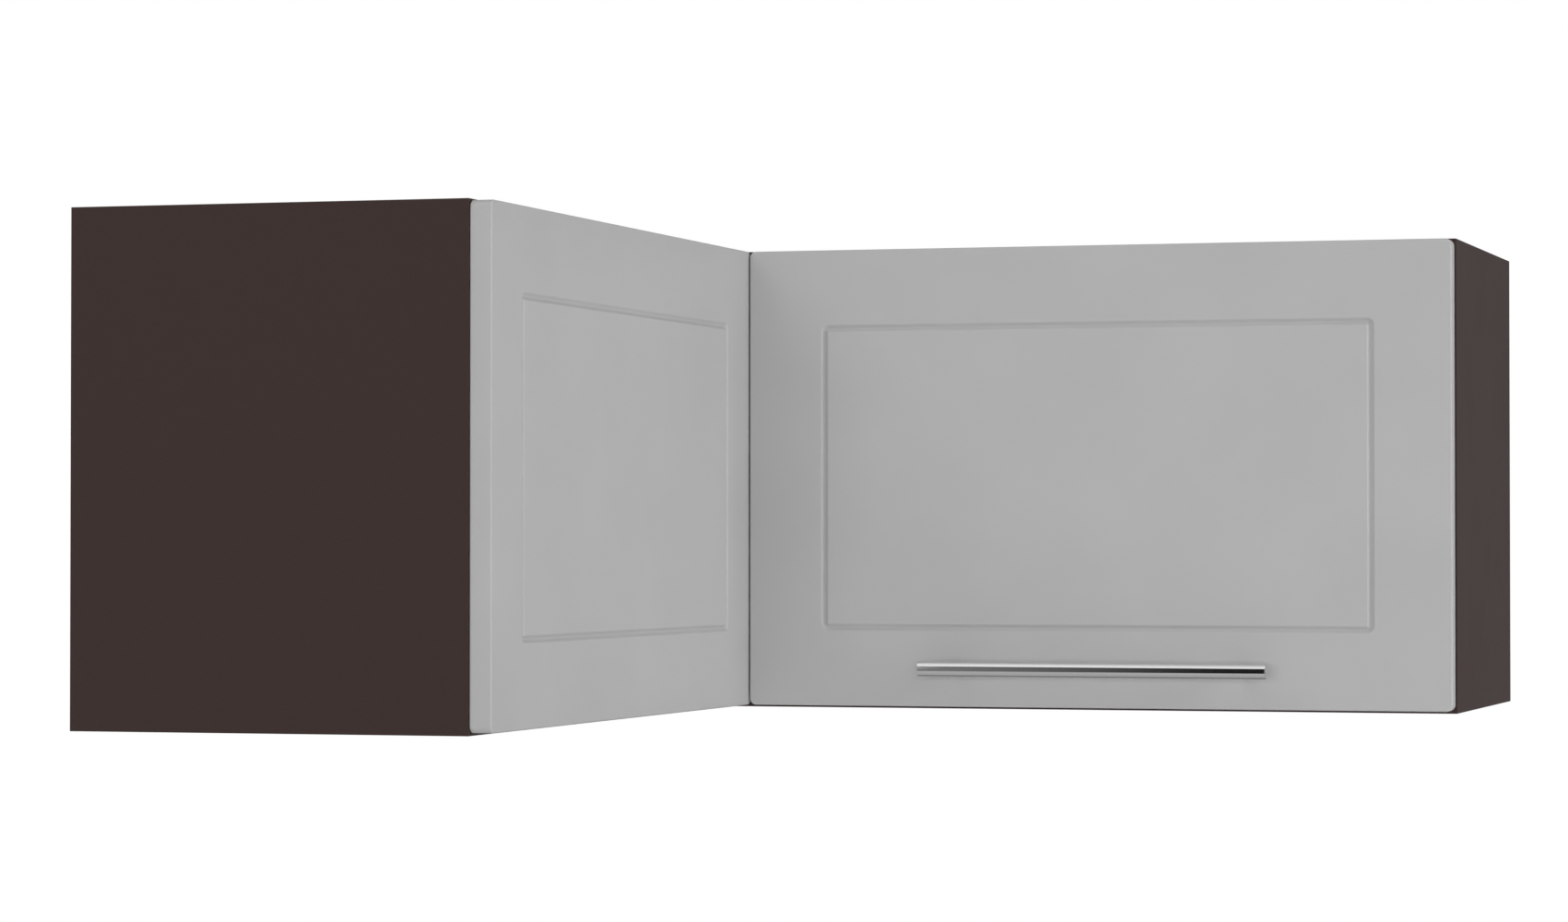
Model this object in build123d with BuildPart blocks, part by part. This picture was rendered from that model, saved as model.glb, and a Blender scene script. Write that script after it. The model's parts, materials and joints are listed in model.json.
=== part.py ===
"""L-shaped corner wall cabinet with a fixed front on one wing and a lift-up door on the other.

All sizes are millimetres. The origin is the room's corner at the height of the cabinet's underside:
+X runs along the back wall, -Y runs along the left wall into the room, +Z is up.
"""
from build123d import *
from dataclasses import dataclass
import math
import os

os.makedirs("parts", exist_ok=True)

# ---- Carcass ------------------------------------------------------------------------------------
height = 360.0            # underside to top
board = 16.0              # chipboard thickness
carcass_depth = 292.0     # wall to the carcass's front edge, both wings
right_leg = 864.0         # room corner to the right end, along the back wall
left_leg = 888.0          # room corner to the near end, along the left wall
hardboard = 3.2           # back panel thickness
back_recess = 16.0        # wall to the back panel's rear face, leaves room for the wall plates
groove_depth = 6.0        # how far a back panel reaches into the boards
groove_clearance = 0.2    # on each side of a back panel in its groove
stile_width = 60.0        # inner corner stile beside the right opening
rear_stile_width = 76.0   # wall fixing strips in the room corner
wall_screw_radius = 2.5   # holes for the wall screws in the rear stiles
wall_screw_inset = 48.0   # from the boards to a wall screw hole

# ---- Fronts -------------------------------------------------------------------------------------
front_thickness = 16.0
front_gap_top = 1.0       # front to the carcass's outer edges
front_gap_bottom = 2.0
front_gap_side = 1.0
corner_gap = 1.0          # between the left front's face and the door's left edge
hidden_end_gap = 12.0     # left front's far end to the carcass's front plane
door_gap = 2.0            # behind the door, filled by the bumpers
front_corner_radius = 5.0
face_round = 1.8          # roundover of the face edges
back_round = 1.5          # roundover of the rear edges
groove_margin = 61.5      # front's edge to the milled groove's centreline
groove_width = 6.2
groove_cut = 2.1
groove_corner_radius = 3.4

# ---- Bar handle ---------------------------------------------------------------------------------
bar_diameter = 12.0
bar_length = 273.0
bar_end_chamfer = 0.6
post_inset = 24.5         # bar's end to a post's axis
post_diameter = 9.0
bar_standoff = 29.0       # door face to the bar's axis
bar_rise = 30.0           # door's bottom edge to the bar's axis
bar_shift = 4.4           # bar's middle beyond the door's middle
post_seat = 0.05          # between a post's saddle and the bar

# ---- Door axis and concealed hinges -------------------------------------------------------------
opening_angle = 85.0
axis_depth = 14.5         # door axis in front of the door's rear face
axis_drop = 6.75          # door axis below the door's top edge
hinge_inset = 90.0        # door's edge to a hinge's centre
cup_diameter = 35.0
cup_edge_distance = 4.0   # door's top edge to the cup's bore
cup_depth = 12.3
cup_wall = 0.9
cup_flange = 1.0
cup_flange_radius = 18.0
cup_wing_length = 52.0
cup_wing_width = 14.0
cup_wing_drop = 9.5       # wing centreline below the cup's centre
cup_screw_spacing = 45.0
cup_pin_reach = 9.5       # door axis to the cup pin
cup_pin_tilt = 23.0       # of that line below level, door closed
arm_pin_reach = 26.0      # door axis to the arm pin
arm_pin_radius = 1.5
cup_pin_radius = 1.0
link_width = 8.0
link_band = 2.2           # thickness of the curved link
link_bulge = 2.2          # how far the link bows round the cup's rim
link_eye_radius = 2.6
slot_clearance = 0.1      # round the cup pin's path in the link's slot
slot_wall = 0.7
running_clearance = 0.05  # radial, for pins that turn
fixed_clearance = 0.02    # radial, for pins that don't
nose_radius = 3.6
nose_width = 12.6
arm_width = 18.0
arm_wall = 1.5
arm_length = 60.0         # carcass front to the arm's rear end
arm_floor_drop = 12.6     # top board to the arm's underside
plate_length = 46.0
plate_thickness = 2.0
plate_wing_span = 48.0
plate_wing_length = 14.0
plate_screw_setback = 37.0
plate_screw_spacing = 32.0
boss_width = 12.4
arm_seat = 0.1            # arm floor to the mounting plate's boss
arm_top_gap = 0.3

# ---- Flap stay on the right end panel -----------------------------------------------------------
bracket_reach = 16.0      # bracket pin behind the door's rear face
bracket_drop = 63.0       # bracket pin below the door's top edge
stay_back = 100.0         # stay pivot behind the door axis
stay_drop = 42.0          # stay pivot below the door axis
stay_base_thickness = 1.5
stay_cover_thickness = 17.5
stay_cover_ahead = 50.0   # cover's extent in front of the pivot
stay_hanger_gap = 23.0    # stay's base to the hanger housing behind it
stay_cover_above = 24.0
stay_cover_below = 22.0
stay_cover_round = 12.0
stay_cover_edge_round = 3.0
stay_tab = 14.0           # screw tabs of the base beyond the cover
lever_thickness = 3.0
lever_hub_radius = 13.0
lever_tip_radius = 9.0
coupler_height = 12.0
layer_gap = 0.3           # between the flat links of the stay
stay_bolt_radius = 4.0
stay_bolt_head_radius = 7.0
stay_bolt_head = 2.0
joint_pin_radius = 3.0
joint_pin_head_radius = 5.0
joint_pin_head = 1.4
bracket_pin_radius = 2.5
bracket_pin_head_radius = 4.0
bracket_pin_head = 1.4
bracket_sheet = 1.6
bracket_base_width = 26.0
bracket_base_height = 44.0
bracket_eye_radius = 7.0

# ---- Fittings and fasteners ---------------------------------------------------------------------
cam_radius = 7.5
cam_length = 12.5
cam_setback = 34.0        # board's end to the cam's centre
cam_bolt_radius = 3.5
cam_bolt_bite = 10.0      # cam bolt's length in the end panel
dowel_radius = 4.0
dowel_length = 30.0
dowel_bite = 10.0         # dowel's length in the end panel
bore_clearance = 0.1      # round cams, bolts and dowels
joint_front = 42.0        # cam and dowel places from the carcass's front edge
joint_rear = 60.0         # and from the wall
dowel_shift = 32.0        # dowel beside its cam
angle_leg = 25.0          # angle bracket of the fixed front
angle_width = 18.0
angle_sheet = 1.5
angle_inset = 64.0        # angle bracket from the boards
stile_screw_inset = 76.0
bumper_radius = 4.0
bumper_thickness = 1.7
bumper_inset = 30.0

# ---- Cabinet hangers and wall plates ------------------------------------------------------------
hanger_width = 18.0
hanger_depth = 56.0
hanger_height = 42.0
hanger_gap = 0.3          # hanger housing to the back panel and the top board
hanger_wall = 1.6
hook_thickness = 2.0
hook_width = 12.0
hook_height = 4.0
hook_bar_drop = 22.0      # top board to the hook's underside
hook_tip = 9.0            # how far the hook hangs behind the plate's lip
hook_to_wall = 1.9
hook_anchor = 30.0        # hook's length inside the housing
notch_clearance = 2.0
wall_plate_width = 60.0
wall_plate_height = 42.0
wall_plate_sheet = 2.0
wall_plate_jog = 4.5      # lip's rear face to the wall
wall_plate_lip = 14.0     # height of the lip
wall_plate_gap = 3.0      # wall plate to the end panel
wall_hole_spacing = 32.0
wall_hole_radius = 3.0
wall_hole_rise = 11.0
overcut = 1.0             # how far a cut runs past the face it opens


@dataclass(frozen=True)
class Screw:
    """Sizes of one kind of screw: its head, its shank and the length under the head."""

    head_radius: float
    head_height: float
    shank_radius: float
    length: float


# Chipboard screws in two sizes, and the lengths of each use.
small_head_radius = 3.2
small_head_height = 1.4
small_shank_radius = 1.6
cup_screw_length = 11.0
bracket_screw_length = 12.0
angle_screw_length = 12.0
euro_head_radius = 3.6
euro_head_height = 1.8
euro_shank_radius = 1.8
plate_screw_length = 14.0
stay_screw_length = 13.0
hanger_screw_length = 13.0
arm_head_radius = 4.4     # machine screw of the hinge arm
arm_head_height = 1.6
arm_shank_radius = 2.5
arm_screw_length = 10.0
stile_head_radius = 4.0   # long screws through the stile into the fixed front
stile_head_height = 1.8
stile_shank_radius = 2.0
stile_screw_bite = 11.0
handle_head_radius = 4.0  # machine screws through the door into the posts
handle_head_height = 2.2
handle_shank_radius = 2.0
handle_screw_bite = 12.0

cup_screw = Screw(small_head_radius, small_head_height, small_shank_radius, cup_screw_length)
bracket_screw = Screw(small_head_radius, small_head_height, small_shank_radius, bracket_screw_length)
angle_screw = Screw(small_head_radius, small_head_height, small_shank_radius, angle_screw_length)
plate_screw = Screw(euro_head_radius, euro_head_height, euro_shank_radius, plate_screw_length)
stay_screw = Screw(euro_head_radius, euro_head_height, euro_shank_radius, stay_screw_length)
hanger_screw = Screw(euro_head_radius, euro_head_height, euro_shank_radius, hanger_screw_length)
arm_screw = Screw(arm_head_radius, arm_head_height, arm_shank_radius, arm_screw_length)
stile_screw = Screw(stile_head_radius, stile_head_height, stile_shank_radius, board + stile_screw_bite)
handle_screw = Screw(handle_head_radius, handle_head_height, handle_shank_radius,
                     front_thickness + handle_screw_bite)

# ---- Places worked out from the sizes above -----------------------------------------------------
inner_low = board                                   # inside faces of the boards
inner_high = height - board
left_inner = -(left_leg - board)                    # left end panel's inside face, in Y
right_inner = right_leg - board                     # right end panel's inside face, in X
front_plane = -carcass_depth                        # right wing's front plane, in Y
panel_front = back_recess + hardboard               # wall to a back panel's inside face

front_low = front_gap_bottom
front_high = height - front_gap_top
front_height = front_high - front_low
door_left = carcass_depth + front_thickness + corner_gap
door_right = right_leg - front_gap_side
door_width = door_right - door_left
door_rear = front_plane - door_gap
door_face = door_rear - front_thickness
left_front_near = -(left_leg - front_gap_side)
left_front_far = front_plane - hidden_end_gap
left_front_width = left_front_far - left_front_near

axis_y = door_rear - axis_depth
axis_z = front_high - axis_drop
hinge_places = (door_left + hinge_inset, door_right - hinge_inset)
cup_z = front_high - cup_edge_distance - cup_diameter / 2

bar_x = (door_left + door_right) / 2 + bar_shift
bar_y = door_face - bar_standoff
bar_z = front_low + bar_rise
post_places = (bar_x - bar_length / 2 + post_inset, bar_x + bar_length / 2 - post_inset)

bracket_pin = (door_rear + bracket_reach, front_high - bracket_drop)
stay_pivot = (axis_y + stay_back, axis_z - stay_drop)
stay_joint = (bracket_pin[0] + stay_back, bracket_pin[1] - stay_drop)
stay_cover_behind = -(panel_front + hanger_gap + hanger_depth + stay_hanger_gap + stay_tab) - stay_pivot[0]
stay_face = right_inner - stay_base_thickness - stay_cover_thickness
lever_right = stay_face - layer_gap
lever_left = lever_right - lever_thickness
coupler_right = lever_left - layer_gap
coupler_left = coupler_right - lever_thickness
bracket_right = coupler_left - layer_gap
bracket_left = bracket_right - bracket_sheet

hook_low = inner_high - hook_bar_drop


def from_door_axis(reach, tilt):
    """Place at a distance behind the door axis, on a line that falls by a tilt in degrees."""
    fall = math.radians(tilt)
    return (axis_y + reach * math.cos(fall), axis_z - reach * math.sin(fall))


# The arm pin lies on the line that halves the cup pin's travel, so the two pins are equally far
# apart with the door closed and with it open.
cup_pin = from_door_axis(cup_pin_reach, cup_pin_tilt)
arm_pin = from_door_axis(arm_pin_reach, cup_pin_tilt + opening_angle / 2)


# ---- Helpers ------------------------------------------------------------------------------------
def save(builder, name):
    """Label a finished piece and write its STEP file."""
    builder.part.label = name
    export_step(builder.part, f"parts/{name}.step")


def block(x_span, y_span, z_span, mode=Mode.ADD):
    """Box between two values along each axis."""
    spans = (x_span, y_span, z_span)
    middle = tuple((low + high) / 2 for low, high in spans)
    size = tuple(abs(high - low) for low, high in spans)
    with Locations(middle):
        Box(*size, mode=mode)


def bar_between(start, end, radius, mode=Mode.ADD):
    """Round bar with its axis from one point to another."""
    axis = Vector(*end) - Vector(*start)
    with Locations(Plane(origin=start, z_dir=axis)):
        Cylinder(radius, axis.length, align=(Align.CENTER, Align.CENTER, Align.MIN), mode=mode)


def x_bar(x_low, x_high, place, radius, mode=Mode.ADD):
    """Round bar along X at a (y, z) place."""
    bar_between((x_low, *place), (x_high, *place), radius, mode)


def add_screw(origin, direction, size):
    """Screw with its head's underside at the origin and its shank along the direction."""
    outward = Vector(*direction) * -1
    tip = Vector(*origin) - outward * size.length
    bar_between(origin, tuple(tip), size.shank_radius)
    with Locations(Plane(origin=origin, z_dir=outward)):
        Cone(size.head_radius, size.head_radius * 0.85, size.head_height,
             align=(Align.CENTER, Align.CENTER, Align.MIN))


def screw_bore(origin, direction, size):
    """Bore that a screw's shank fills, from its head's underside to just past its tip."""
    reach = Vector(*direction) * (size.length + fixed_clearance)
    bar_between(origin, tuple(Vector(*origin) + reach), size.shank_radius + fixed_clearance, Mode.SUBTRACT)


def turned(point, pivot, angle):
    """A (y, z) point after a turn about a pivot, the way the door opens."""
    turn = math.radians(angle)
    y, z = point[0] - pivot[0], point[1] - pivot[1]
    return (pivot[0] + y * math.cos(turn) + z * math.sin(turn),
            pivot[1] - y * math.sin(turn) + z * math.cos(turn))


# ---- Places of fasteners ------------------------------------------------------------------------
def end_joints():
    """Cam and dowel places as (origin at the board's end, direction into the end panel, board z)."""
    joints = []
    for board_z in (board / 2, height - board / 2):
        for y in (front_plane + joint_front, -joint_rear):
            joints.append(((right_inner, y, board_z), (1, 0, 0), (0, 1, 0)))
        for x in (carcass_depth - joint_front, joint_rear):
            joints.append(((x, left_inner, board_z), (0, -1, 0), (-1, 0, 0)))
    return joints


def inward_shift(side_step, origin):
    """Step from a cam to its dowel, towards the middle of the board."""
    along = Vector(*origin).dot(Vector(*side_step))
    middle = -carcass_depth / 2
    return Vector(*side_step) * (dowel_shift if along < middle else -dowel_shift)


def cam_places():
    """Cam centres with the way each cam faces, and the line of each cam bolt."""
    places = []
    for origin, direction, _ in end_joints():
        axis = Vector(*direction)
        end = Vector(*origin)
        low_board = origin[2] < height / 2
        mouth = inner_low if low_board else inner_high
        centre = end - axis * cam_setback
        places.append(((centre.X, centre.Y, mouth), -1 if low_board else 1,
                       tuple(centre), tuple(end + axis * cam_bolt_bite)))
    return places


def end_dowels():
    """Start and end of each dowel between a board and an end panel."""
    lines = []
    for origin, direction, side_step in end_joints():
        axis = Vector(*direction)
        place = Vector(*origin) + inward_shift(side_step, origin)
        start = place - axis * (dowel_length - dowel_bite)
        lines.append((tuple(start), tuple(place + axis * dowel_bite)))
    return lines


def stile_dowels():
    """Start and end of the upright dowels at the stiles' lower and upper ends."""
    middle = board / 2
    corner_middle = carcass_depth + stile_width / 2
    rear_middle = (rear_stile_width + board) / 2
    plan = ((carcass_depth - middle, -corner_middle), (corner_middle, middle - carcass_depth),
            (rear_middle, -middle), (middle, -rear_middle))
    lines = []
    for x, y in plan:
        lines.append(((x, y, inner_low - dowel_bite), (x, y, inner_low + dowel_length - dowel_bite)))
        lines.append(((x, y, inner_high + dowel_bite), (x, y, inner_high - dowel_length + dowel_bite)))
    return lines


def widened(line):
    """The same line, longer by the bore clearance at both ends."""
    start, end = Vector(*line[0]), Vector(*line[1])
    step = (end - start).normalized() * bore_clearance
    return tuple(start - step), tuple(end + step)


def dowel_bores():
    """Cut the bores of all dowels from the piece being built."""
    for line in end_dowels() + stile_dowels():
        bar_between(*widened(line), dowel_radius + bore_clearance, Mode.SUBTRACT)


def angle_heights():
    """Middle heights of the fixed front's two angle brackets."""
    return (inner_low + angle_inset, inner_high - angle_inset)


def stile_screw_places():
    """Screws from inside the left wing through the corner stile into the fixed front."""
    y = (left_front_far - carcass_depth - stile_width) / 2
    x = carcass_depth - board
    return [((x, y, z), (1, 0, 0))
            for z in (inner_low + stile_screw_inset, inner_high - stile_screw_inset)]


def angle_screw_places():
    """Screws of the angle brackets: one into the end panel, one into the fixed front, each."""
    reach = angle_leg * 0.6
    places = []
    for z in angle_heights():
        places.append(((carcass_depth - reach, left_inner + angle_sheet, z), (0, -1, 0)))
        places.append(((carcass_depth - angle_sheet, left_inner + reach, z), (1, 0, 0)))
    return places


def cup_screw_places():
    """Screws of the hinge cups, into the door's rear face."""
    z = cup_z - cup_wing_drop
    return [((x + side * cup_screw_spacing / 2, door_rear + cup_flange, z), (0, -1, 0))
            for x in hinge_places for side in (-1, 1)]


def plate_screw_places():
    """Screws of the hinge mounting plates, up into the top board."""
    y = front_plane + plate_screw_setback
    return [((x + side * plate_screw_spacing / 2, y, inner_high - plate_thickness), (0, 0, 1))
            for x in hinge_places for side in (-1, 1)]


def stay_screw_places():
    """Screws of the stay's base, into the right end panel."""
    x = right_inner - stay_base_thickness
    y, z = stay_pivot
    rear = y + stay_cover_behind + stay_tab / 2
    front = y - stay_cover_ahead - stay_tab / 2
    return [((x, rear, z + stay_cover_above / 2), (1, 0, 0)),
            ((x, rear, z - stay_cover_below / 2), (1, 0, 0)),
            ((x, front, z), (1, 0, 0))]


def bracket_screw_places():
    """Screws of the stay's door bracket, into the door's rear face."""
    x = bracket_right - bracket_base_width / 2 - bracket_sheet
    return [((x, door_rear + bracket_sheet, bracket_pin[1] + side * bracket_base_height / 4), (0, -1, 0))
            for side in (-1, 1)]


# ---- Wings: the same fitting on either wall -----------------------------------------------------
@dataclass(frozen=True)
class Wing:
    """One wall of the corner: u runs along it from the room corner, v runs out from the wall."""

    along: tuple
    out: tuple
    inner_end: float      # u of the end panel's inside face

    def point(self, u, v, z):
        """Point in the cabinet's own axes."""
        place = Vector(*self.along) * u + Vector(*self.out) * v
        return (place.X, place.Y, z)

    def block(self, u_span, v_span, z_span, mode=Mode.ADD):
        """Box between two values along the wall, out of the wall and up."""
        low = self.point(u_span[0], v_span[0], z_span[0])
        high = self.point(u_span[1], v_span[1], z_span[1])
        block((low[0], high[0]), (low[1], high[1]), (low[2], high[2]), mode)


right_wing = Wing((1, 0, 0), (0, -1, 0), right_inner)
left_wing = Wing((0, -1, 0), (1, 0, 0), -left_inner)


def hanger_span(wing):
    """The hanger housing's extent along the wall."""
    return (wing.inner_end - hanger_width, wing.inner_end)


def hook_span(wing):
    """The hook's extent along the wall, centred in its housing."""
    middle = wing.inner_end - hanger_width / 2
    return (middle - hook_width / 2, middle + hook_width / 2)


def hanger_screw_places(wing):
    """Screws of a hanger housing, into the end panel."""
    u = wing.inner_end - hanger_wall
    low = inner_high - hanger_gap - hanger_height
    return [(wing.point(u, panel_front + hanger_gap + hanger_depth * share, low + hanger_height * 0.3),
             wing.along) for share in (0.35, 0.75)]


# ---- Carcass boards -----------------------------------------------------------------------------
def l_board(name, z_low, z_high, groove_from, groove_to):
    """Top or bottom board: an L in plan, grooved for the back panels and bored for its fittings."""
    with BuildPart() as piece:
        with BuildSketch(Plane.XY.offset(z_low)):
            with BuildLine():
                Polyline((0, 0), (right_inner, 0), (right_inner, front_plane), (carcass_depth, front_plane),
                         (carcass_depth, left_inner), (0, left_inner), close=True)
            make_face()
        extrude(amount=z_high - z_low)
        for wing in (right_wing, left_wing):
            wing.block((back_recess - groove_clearance, wing.inner_end),
                       (back_recess - groove_clearance, panel_front + groove_clearance),
                       (groove_from, groove_to), Mode.SUBTRACT)
        for mouth, way, centre, bolt_end in cam_places():
            if z_low < mouth[2] + way < z_high:
                deep = (mouth[0], mouth[1], mouth[2] + way * (cam_length + bore_clearance))
                bar_between(mouth, deep, cam_radius + bore_clearance, Mode.SUBTRACT)
                bar_between(centre, bolt_end, cam_bolt_radius + bore_clearance, Mode.SUBTRACT)
        dowel_bores()
        for origin, direction in plate_screw_places():
            screw_bore(origin, direction, plate_screw)
    save(piece, name)


def end_panel(name, wing):
    """Full-height end panel of one wing, with a stopped groove for the back panel."""
    outer_end = wing.inner_end + board
    with BuildPart() as piece:
        wing.block((wing.inner_end, outer_end), (0, carcass_depth), (0, height))
        wing.block((wing.inner_end, wing.inner_end + groove_depth + groove_clearance),
                   (back_recess - groove_clearance, panel_front + groove_clearance),
                   (inner_low - groove_depth - groove_clearance,
                    inner_high + groove_depth + groove_clearance), Mode.SUBTRACT)
        for _, _, centre, bolt_end in cam_places():
            bar_between(*widened((centre, bolt_end)), cam_bolt_radius + bore_clearance, Mode.SUBTRACT)
        for line in end_dowels():
            bar_between(*widened(line), dowel_radius + bore_clearance, Mode.SUBTRACT)
        for origin, direction in hanger_screw_places(wing):
            screw_bore(origin, direction, hanger_screw)
        for origin, direction in stay_screw_places():
            screw_bore(origin, direction, stay_screw)
        for origin, direction in angle_screw_places():
            screw_bore(origin, direction, angle_screw)
    save(piece, name)


def back_panel(name, wing, u_start):
    """Hardboard back panel of one wing, notched at its upper far corner for the hanger's hook."""
    notch = hook_span(wing)
    with BuildPart() as piece:
        wing.block((u_start, wing.inner_end + groove_depth), (back_recess, panel_front),
                   (inner_low - groove_depth, inner_high + groove_depth))
        wing.block((notch[0] - notch_clearance, notch[1] + notch_clearance), (0, carcass_depth),
                   (hook_low - notch_clearance, height), Mode.SUBTRACT)
    save(piece, name)


def rear_stile(name, wing, u_start):
    """Strip behind a back panel in the room corner, with two holes for wall screws."""
    middle = (rear_stile_width + board) / 2
    with BuildPart() as piece:
        wing.block((u_start, rear_stile_width), (0, back_recess), (inner_low, inner_high))
        for z in (inner_low + wall_screw_inset, inner_high - wall_screw_inset):
            bar_between(wing.point(middle, -overcut, z), wing.point(middle, back_recess + overcut, z),
                        wall_screw_radius, Mode.SUBTRACT)
        dowel_bores()
    save(piece, name)


def corner_stiles():
    """Two upright strips that make an L at the cabinet's inner corner."""
    with BuildPart() as left_stile:
        block((carcass_depth - board, carcass_depth), (front_plane - stile_width, front_plane + board),
              (inner_low, inner_high))
        dowel_bores()
        for origin, direction in stile_screw_places():
            screw_bore(origin, direction, stile_screw)
    save(left_stile, "corner_stile_left")
    with BuildPart() as right_stile:
        block((carcass_depth, carcass_depth + stile_width), (front_plane, front_plane + board),
              (inner_low, inner_high))
        dowel_bores()
    save(right_stile, "corner_stile_right")


def board_fittings():
    """Cam locks with their bolts, and the dowels of every joint."""
    with BuildPart() as cams:
        for mouth, way, centre, bolt_end in cam_places():
            deep = (mouth[0], mouth[1], mouth[2] + way * cam_length)
            bar_between(mouth, deep, cam_radius)
            bar_between(*widened((centre, bolt_end)), cam_bolt_radius + bore_clearance, Mode.SUBTRACT)
            slot = cam_radius / 4
            block((mouth[0] - slot, mouth[0] + slot), (mouth[1] - cam_radius / 2, mouth[1] + cam_radius / 2),
                  (mouth[2] - slot / 2, mouth[2] + slot / 2), Mode.SUBTRACT)
    save(cams, "cam_locks")
    with BuildPart() as bolts:
        for _, _, centre, bolt_end in cam_places():
            bar_between(centre, bolt_end, cam_bolt_radius)
    save(bolts, "cam_bolts")
    with BuildPart() as dowels:
        for line in end_dowels() + stile_dowels():
            bar_between(*line, dowel_radius)
    save(dowels, "dowels")


# ---- Fronts -------------------------------------------------------------------------------------
def milled_front(rear_corner, x_dir, outward, width):
    """Front blank in the current part: rounded corners and edges, and a milled frame groove.

    The rear lower corner, the direction of the width and the outward normal place it.
    """
    rear = Plane(origin=rear_corner, x_dir=x_dir, z_dir=outward)
    with BuildSketch(rear) as blank:
        with Locations((width / 2, front_height / 2)):
            RectangleRounded(width, front_height, front_corner_radius)
    extrude(blank.sketch, amount=front_thickness)
    fillet(faces().sort_by(Axis(rear_corner, outward))[-1].edges(), radius=face_round)
    fillet(faces().sort_by(Axis(rear_corner, outward))[0].edges(), radius=back_round)
    cutter_radius = (groove_width ** 2 / 4 + groove_cut ** 2) / (2 * groove_cut)
    cutter_plane = rear.offset(front_thickness + cutter_radius - groove_cut)
    margin = groove_margin
    with BuildLine(cutter_plane) as path:
        FilletPolyline((margin, margin), (width - margin, margin), (width - margin, front_height - margin),
                       (margin, front_height - margin), radius=groove_corner_radius, close=True)
    route = path.wires()[0]
    with BuildSketch(Plane(origin=route @ 0, x_dir=outward, z_dir=route % 0)) as cutter:
        Circle(cutter_radius)
    sweep(cutter.sketch, path=route, mode=Mode.SUBTRACT)


def left_front():
    """Fixed front of the left wing, seated on the carcass."""
    with BuildPart() as front:
        milled_front((carcass_depth, left_front_near, front_low), (0, 1, 0), (1, 0, 0), left_front_width)
        for origin, direction in stile_screw_places():
            screw_bore(origin, direction, stile_screw)
        for origin, direction in angle_screw_places():
            screw_bore(origin, direction, angle_screw)
    save(front, "left_front")


def door_panel():
    """Lift-up door: the same front with hinge cup bores, handle holes and screw bores."""
    with BuildPart() as door:
        milled_front((door_left, door_rear, front_low), (1, 0, 0), (0, -1, 0), door_width)
        for x in hinge_places:
            bar_between((x, door_rear, cup_z), (x, door_rear - cup_depth - bore_clearance, cup_z),
                        cup_diameter / 2, Mode.SUBTRACT)
        for x in post_places:
            bar_between((x, door_rear, bar_z), (x, door_face - overcut, bar_z),
                        handle_screw.shank_radius + bore_clearance, Mode.SUBTRACT)
        for origin, direction in cup_screw_places():
            screw_bore(origin, direction, cup_screw)
        for origin, direction in bracket_screw_places():
            screw_bore(origin, direction, bracket_screw)
    save(door, "door_panel")


def handle():
    """Bar handle: rail, two posts with saddles, and the screws through the door."""
    with BuildPart() as rail:
        x_bar(bar_x - bar_length / 2, bar_x + bar_length / 2, (bar_y, bar_z), bar_diameter / 2)
        chamfer(edges().filter_by(GeomType.CIRCLE), length=bar_end_chamfer)
    save(rail, "handle_bar")
    for side, x in zip(("left", "right"), post_places):
        with BuildPart() as post:
            bar_between((x, door_face, bar_z), (x, bar_y, bar_z), post_diameter / 2)
            x_bar(x - bar_diameter, x + bar_diameter, (bar_y, bar_z),
                  bar_diameter / 2 + post_seat, Mode.SUBTRACT)
            screw_bore((x, door_rear, bar_z), (0, -1, 0), handle_screw)
        save(post, f"handle_post_{side}")
    with BuildPart() as screws:
        for x in post_places:
            add_screw((x, door_rear, bar_z), (0, -1, 0), handle_screw)
    save(screws, "handle_screws")


# ---- Concealed hinges ---------------------------------------------------------------------------
def hinge_cup(name, x):
    """Cup with its screw flange, pressed into the door's rear face."""
    bowl_radius = cup_diameter / 2 - bore_clearance
    with BuildPart() as cup:
        bar_between((x, door_rear, cup_z), (x, door_rear - cup_depth, cup_z), bowl_radius)
        fillet(edges().filter_by(GeomType.CIRCLE).sort_by(Axis.Y)[0], radius=cup_wall)
        with BuildSketch(Plane(origin=(x, door_rear, cup_z), x_dir=(1, 0, 0), z_dir=(0, 1, 0))):
            Circle(cup_flange_radius)
            with Locations((0, cup_wing_drop)):
                RectangleRounded(cup_wing_length, cup_wing_width, cup_wing_width / 3)
        extrude(amount=cup_flange)
        bar_between((x, door_rear + 2 * cup_flange, cup_z), (x, door_rear - cup_depth + cup_wall, cup_z),
                    bowl_radius - cup_wall, Mode.SUBTRACT)
        x_bar(x - bowl_radius, x + bowl_radius, cup_pin, cup_pin_radius + fixed_clearance, Mode.SUBTRACT)
        for origin, direction in cup_screw_places():
            screw_bore((origin[0], origin[1] + overcut, origin[2]), direction, cup_screw)
    save(cup, name)


def cup_pin_half_length():
    """Half length of a cup pin: the bowl's outer chord at the pin's upper side."""
    radius = cup_diameter / 2 - bore_clearance
    upper_side = cup_pin[1] + cup_pin_radius - cup_z
    return math.sqrt(radius ** 2 - upper_side ** 2) - running_clearance


def pin_heading(angle):
    """Direction of the cup pin from the arm pin, in degrees, with the door open by an angle."""
    y, z = turned(cup_pin, (axis_y, axis_z), angle)
    return math.degrees(math.atan2(z - arm_pin[1], y - arm_pin[0]))


link_turn = pin_heading(opening_angle) - pin_heading(0)   # over the door's whole travel


def cup_pin_path():
    """Places of the cup pin as the link sees them, from the closed door to the open one."""
    path = []
    for step in range(13):
        share = step / 12
        place = turned(cup_pin, (axis_y, axis_z), opening_angle * share)
        path.append(turned(place, arm_pin, link_turn * share))
    return path


def path_sketch(points, radius):
    """Hull of circles along a path, in the current sketch."""
    with Locations(*points):
        Circle(radius)
    make_hull()


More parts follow.
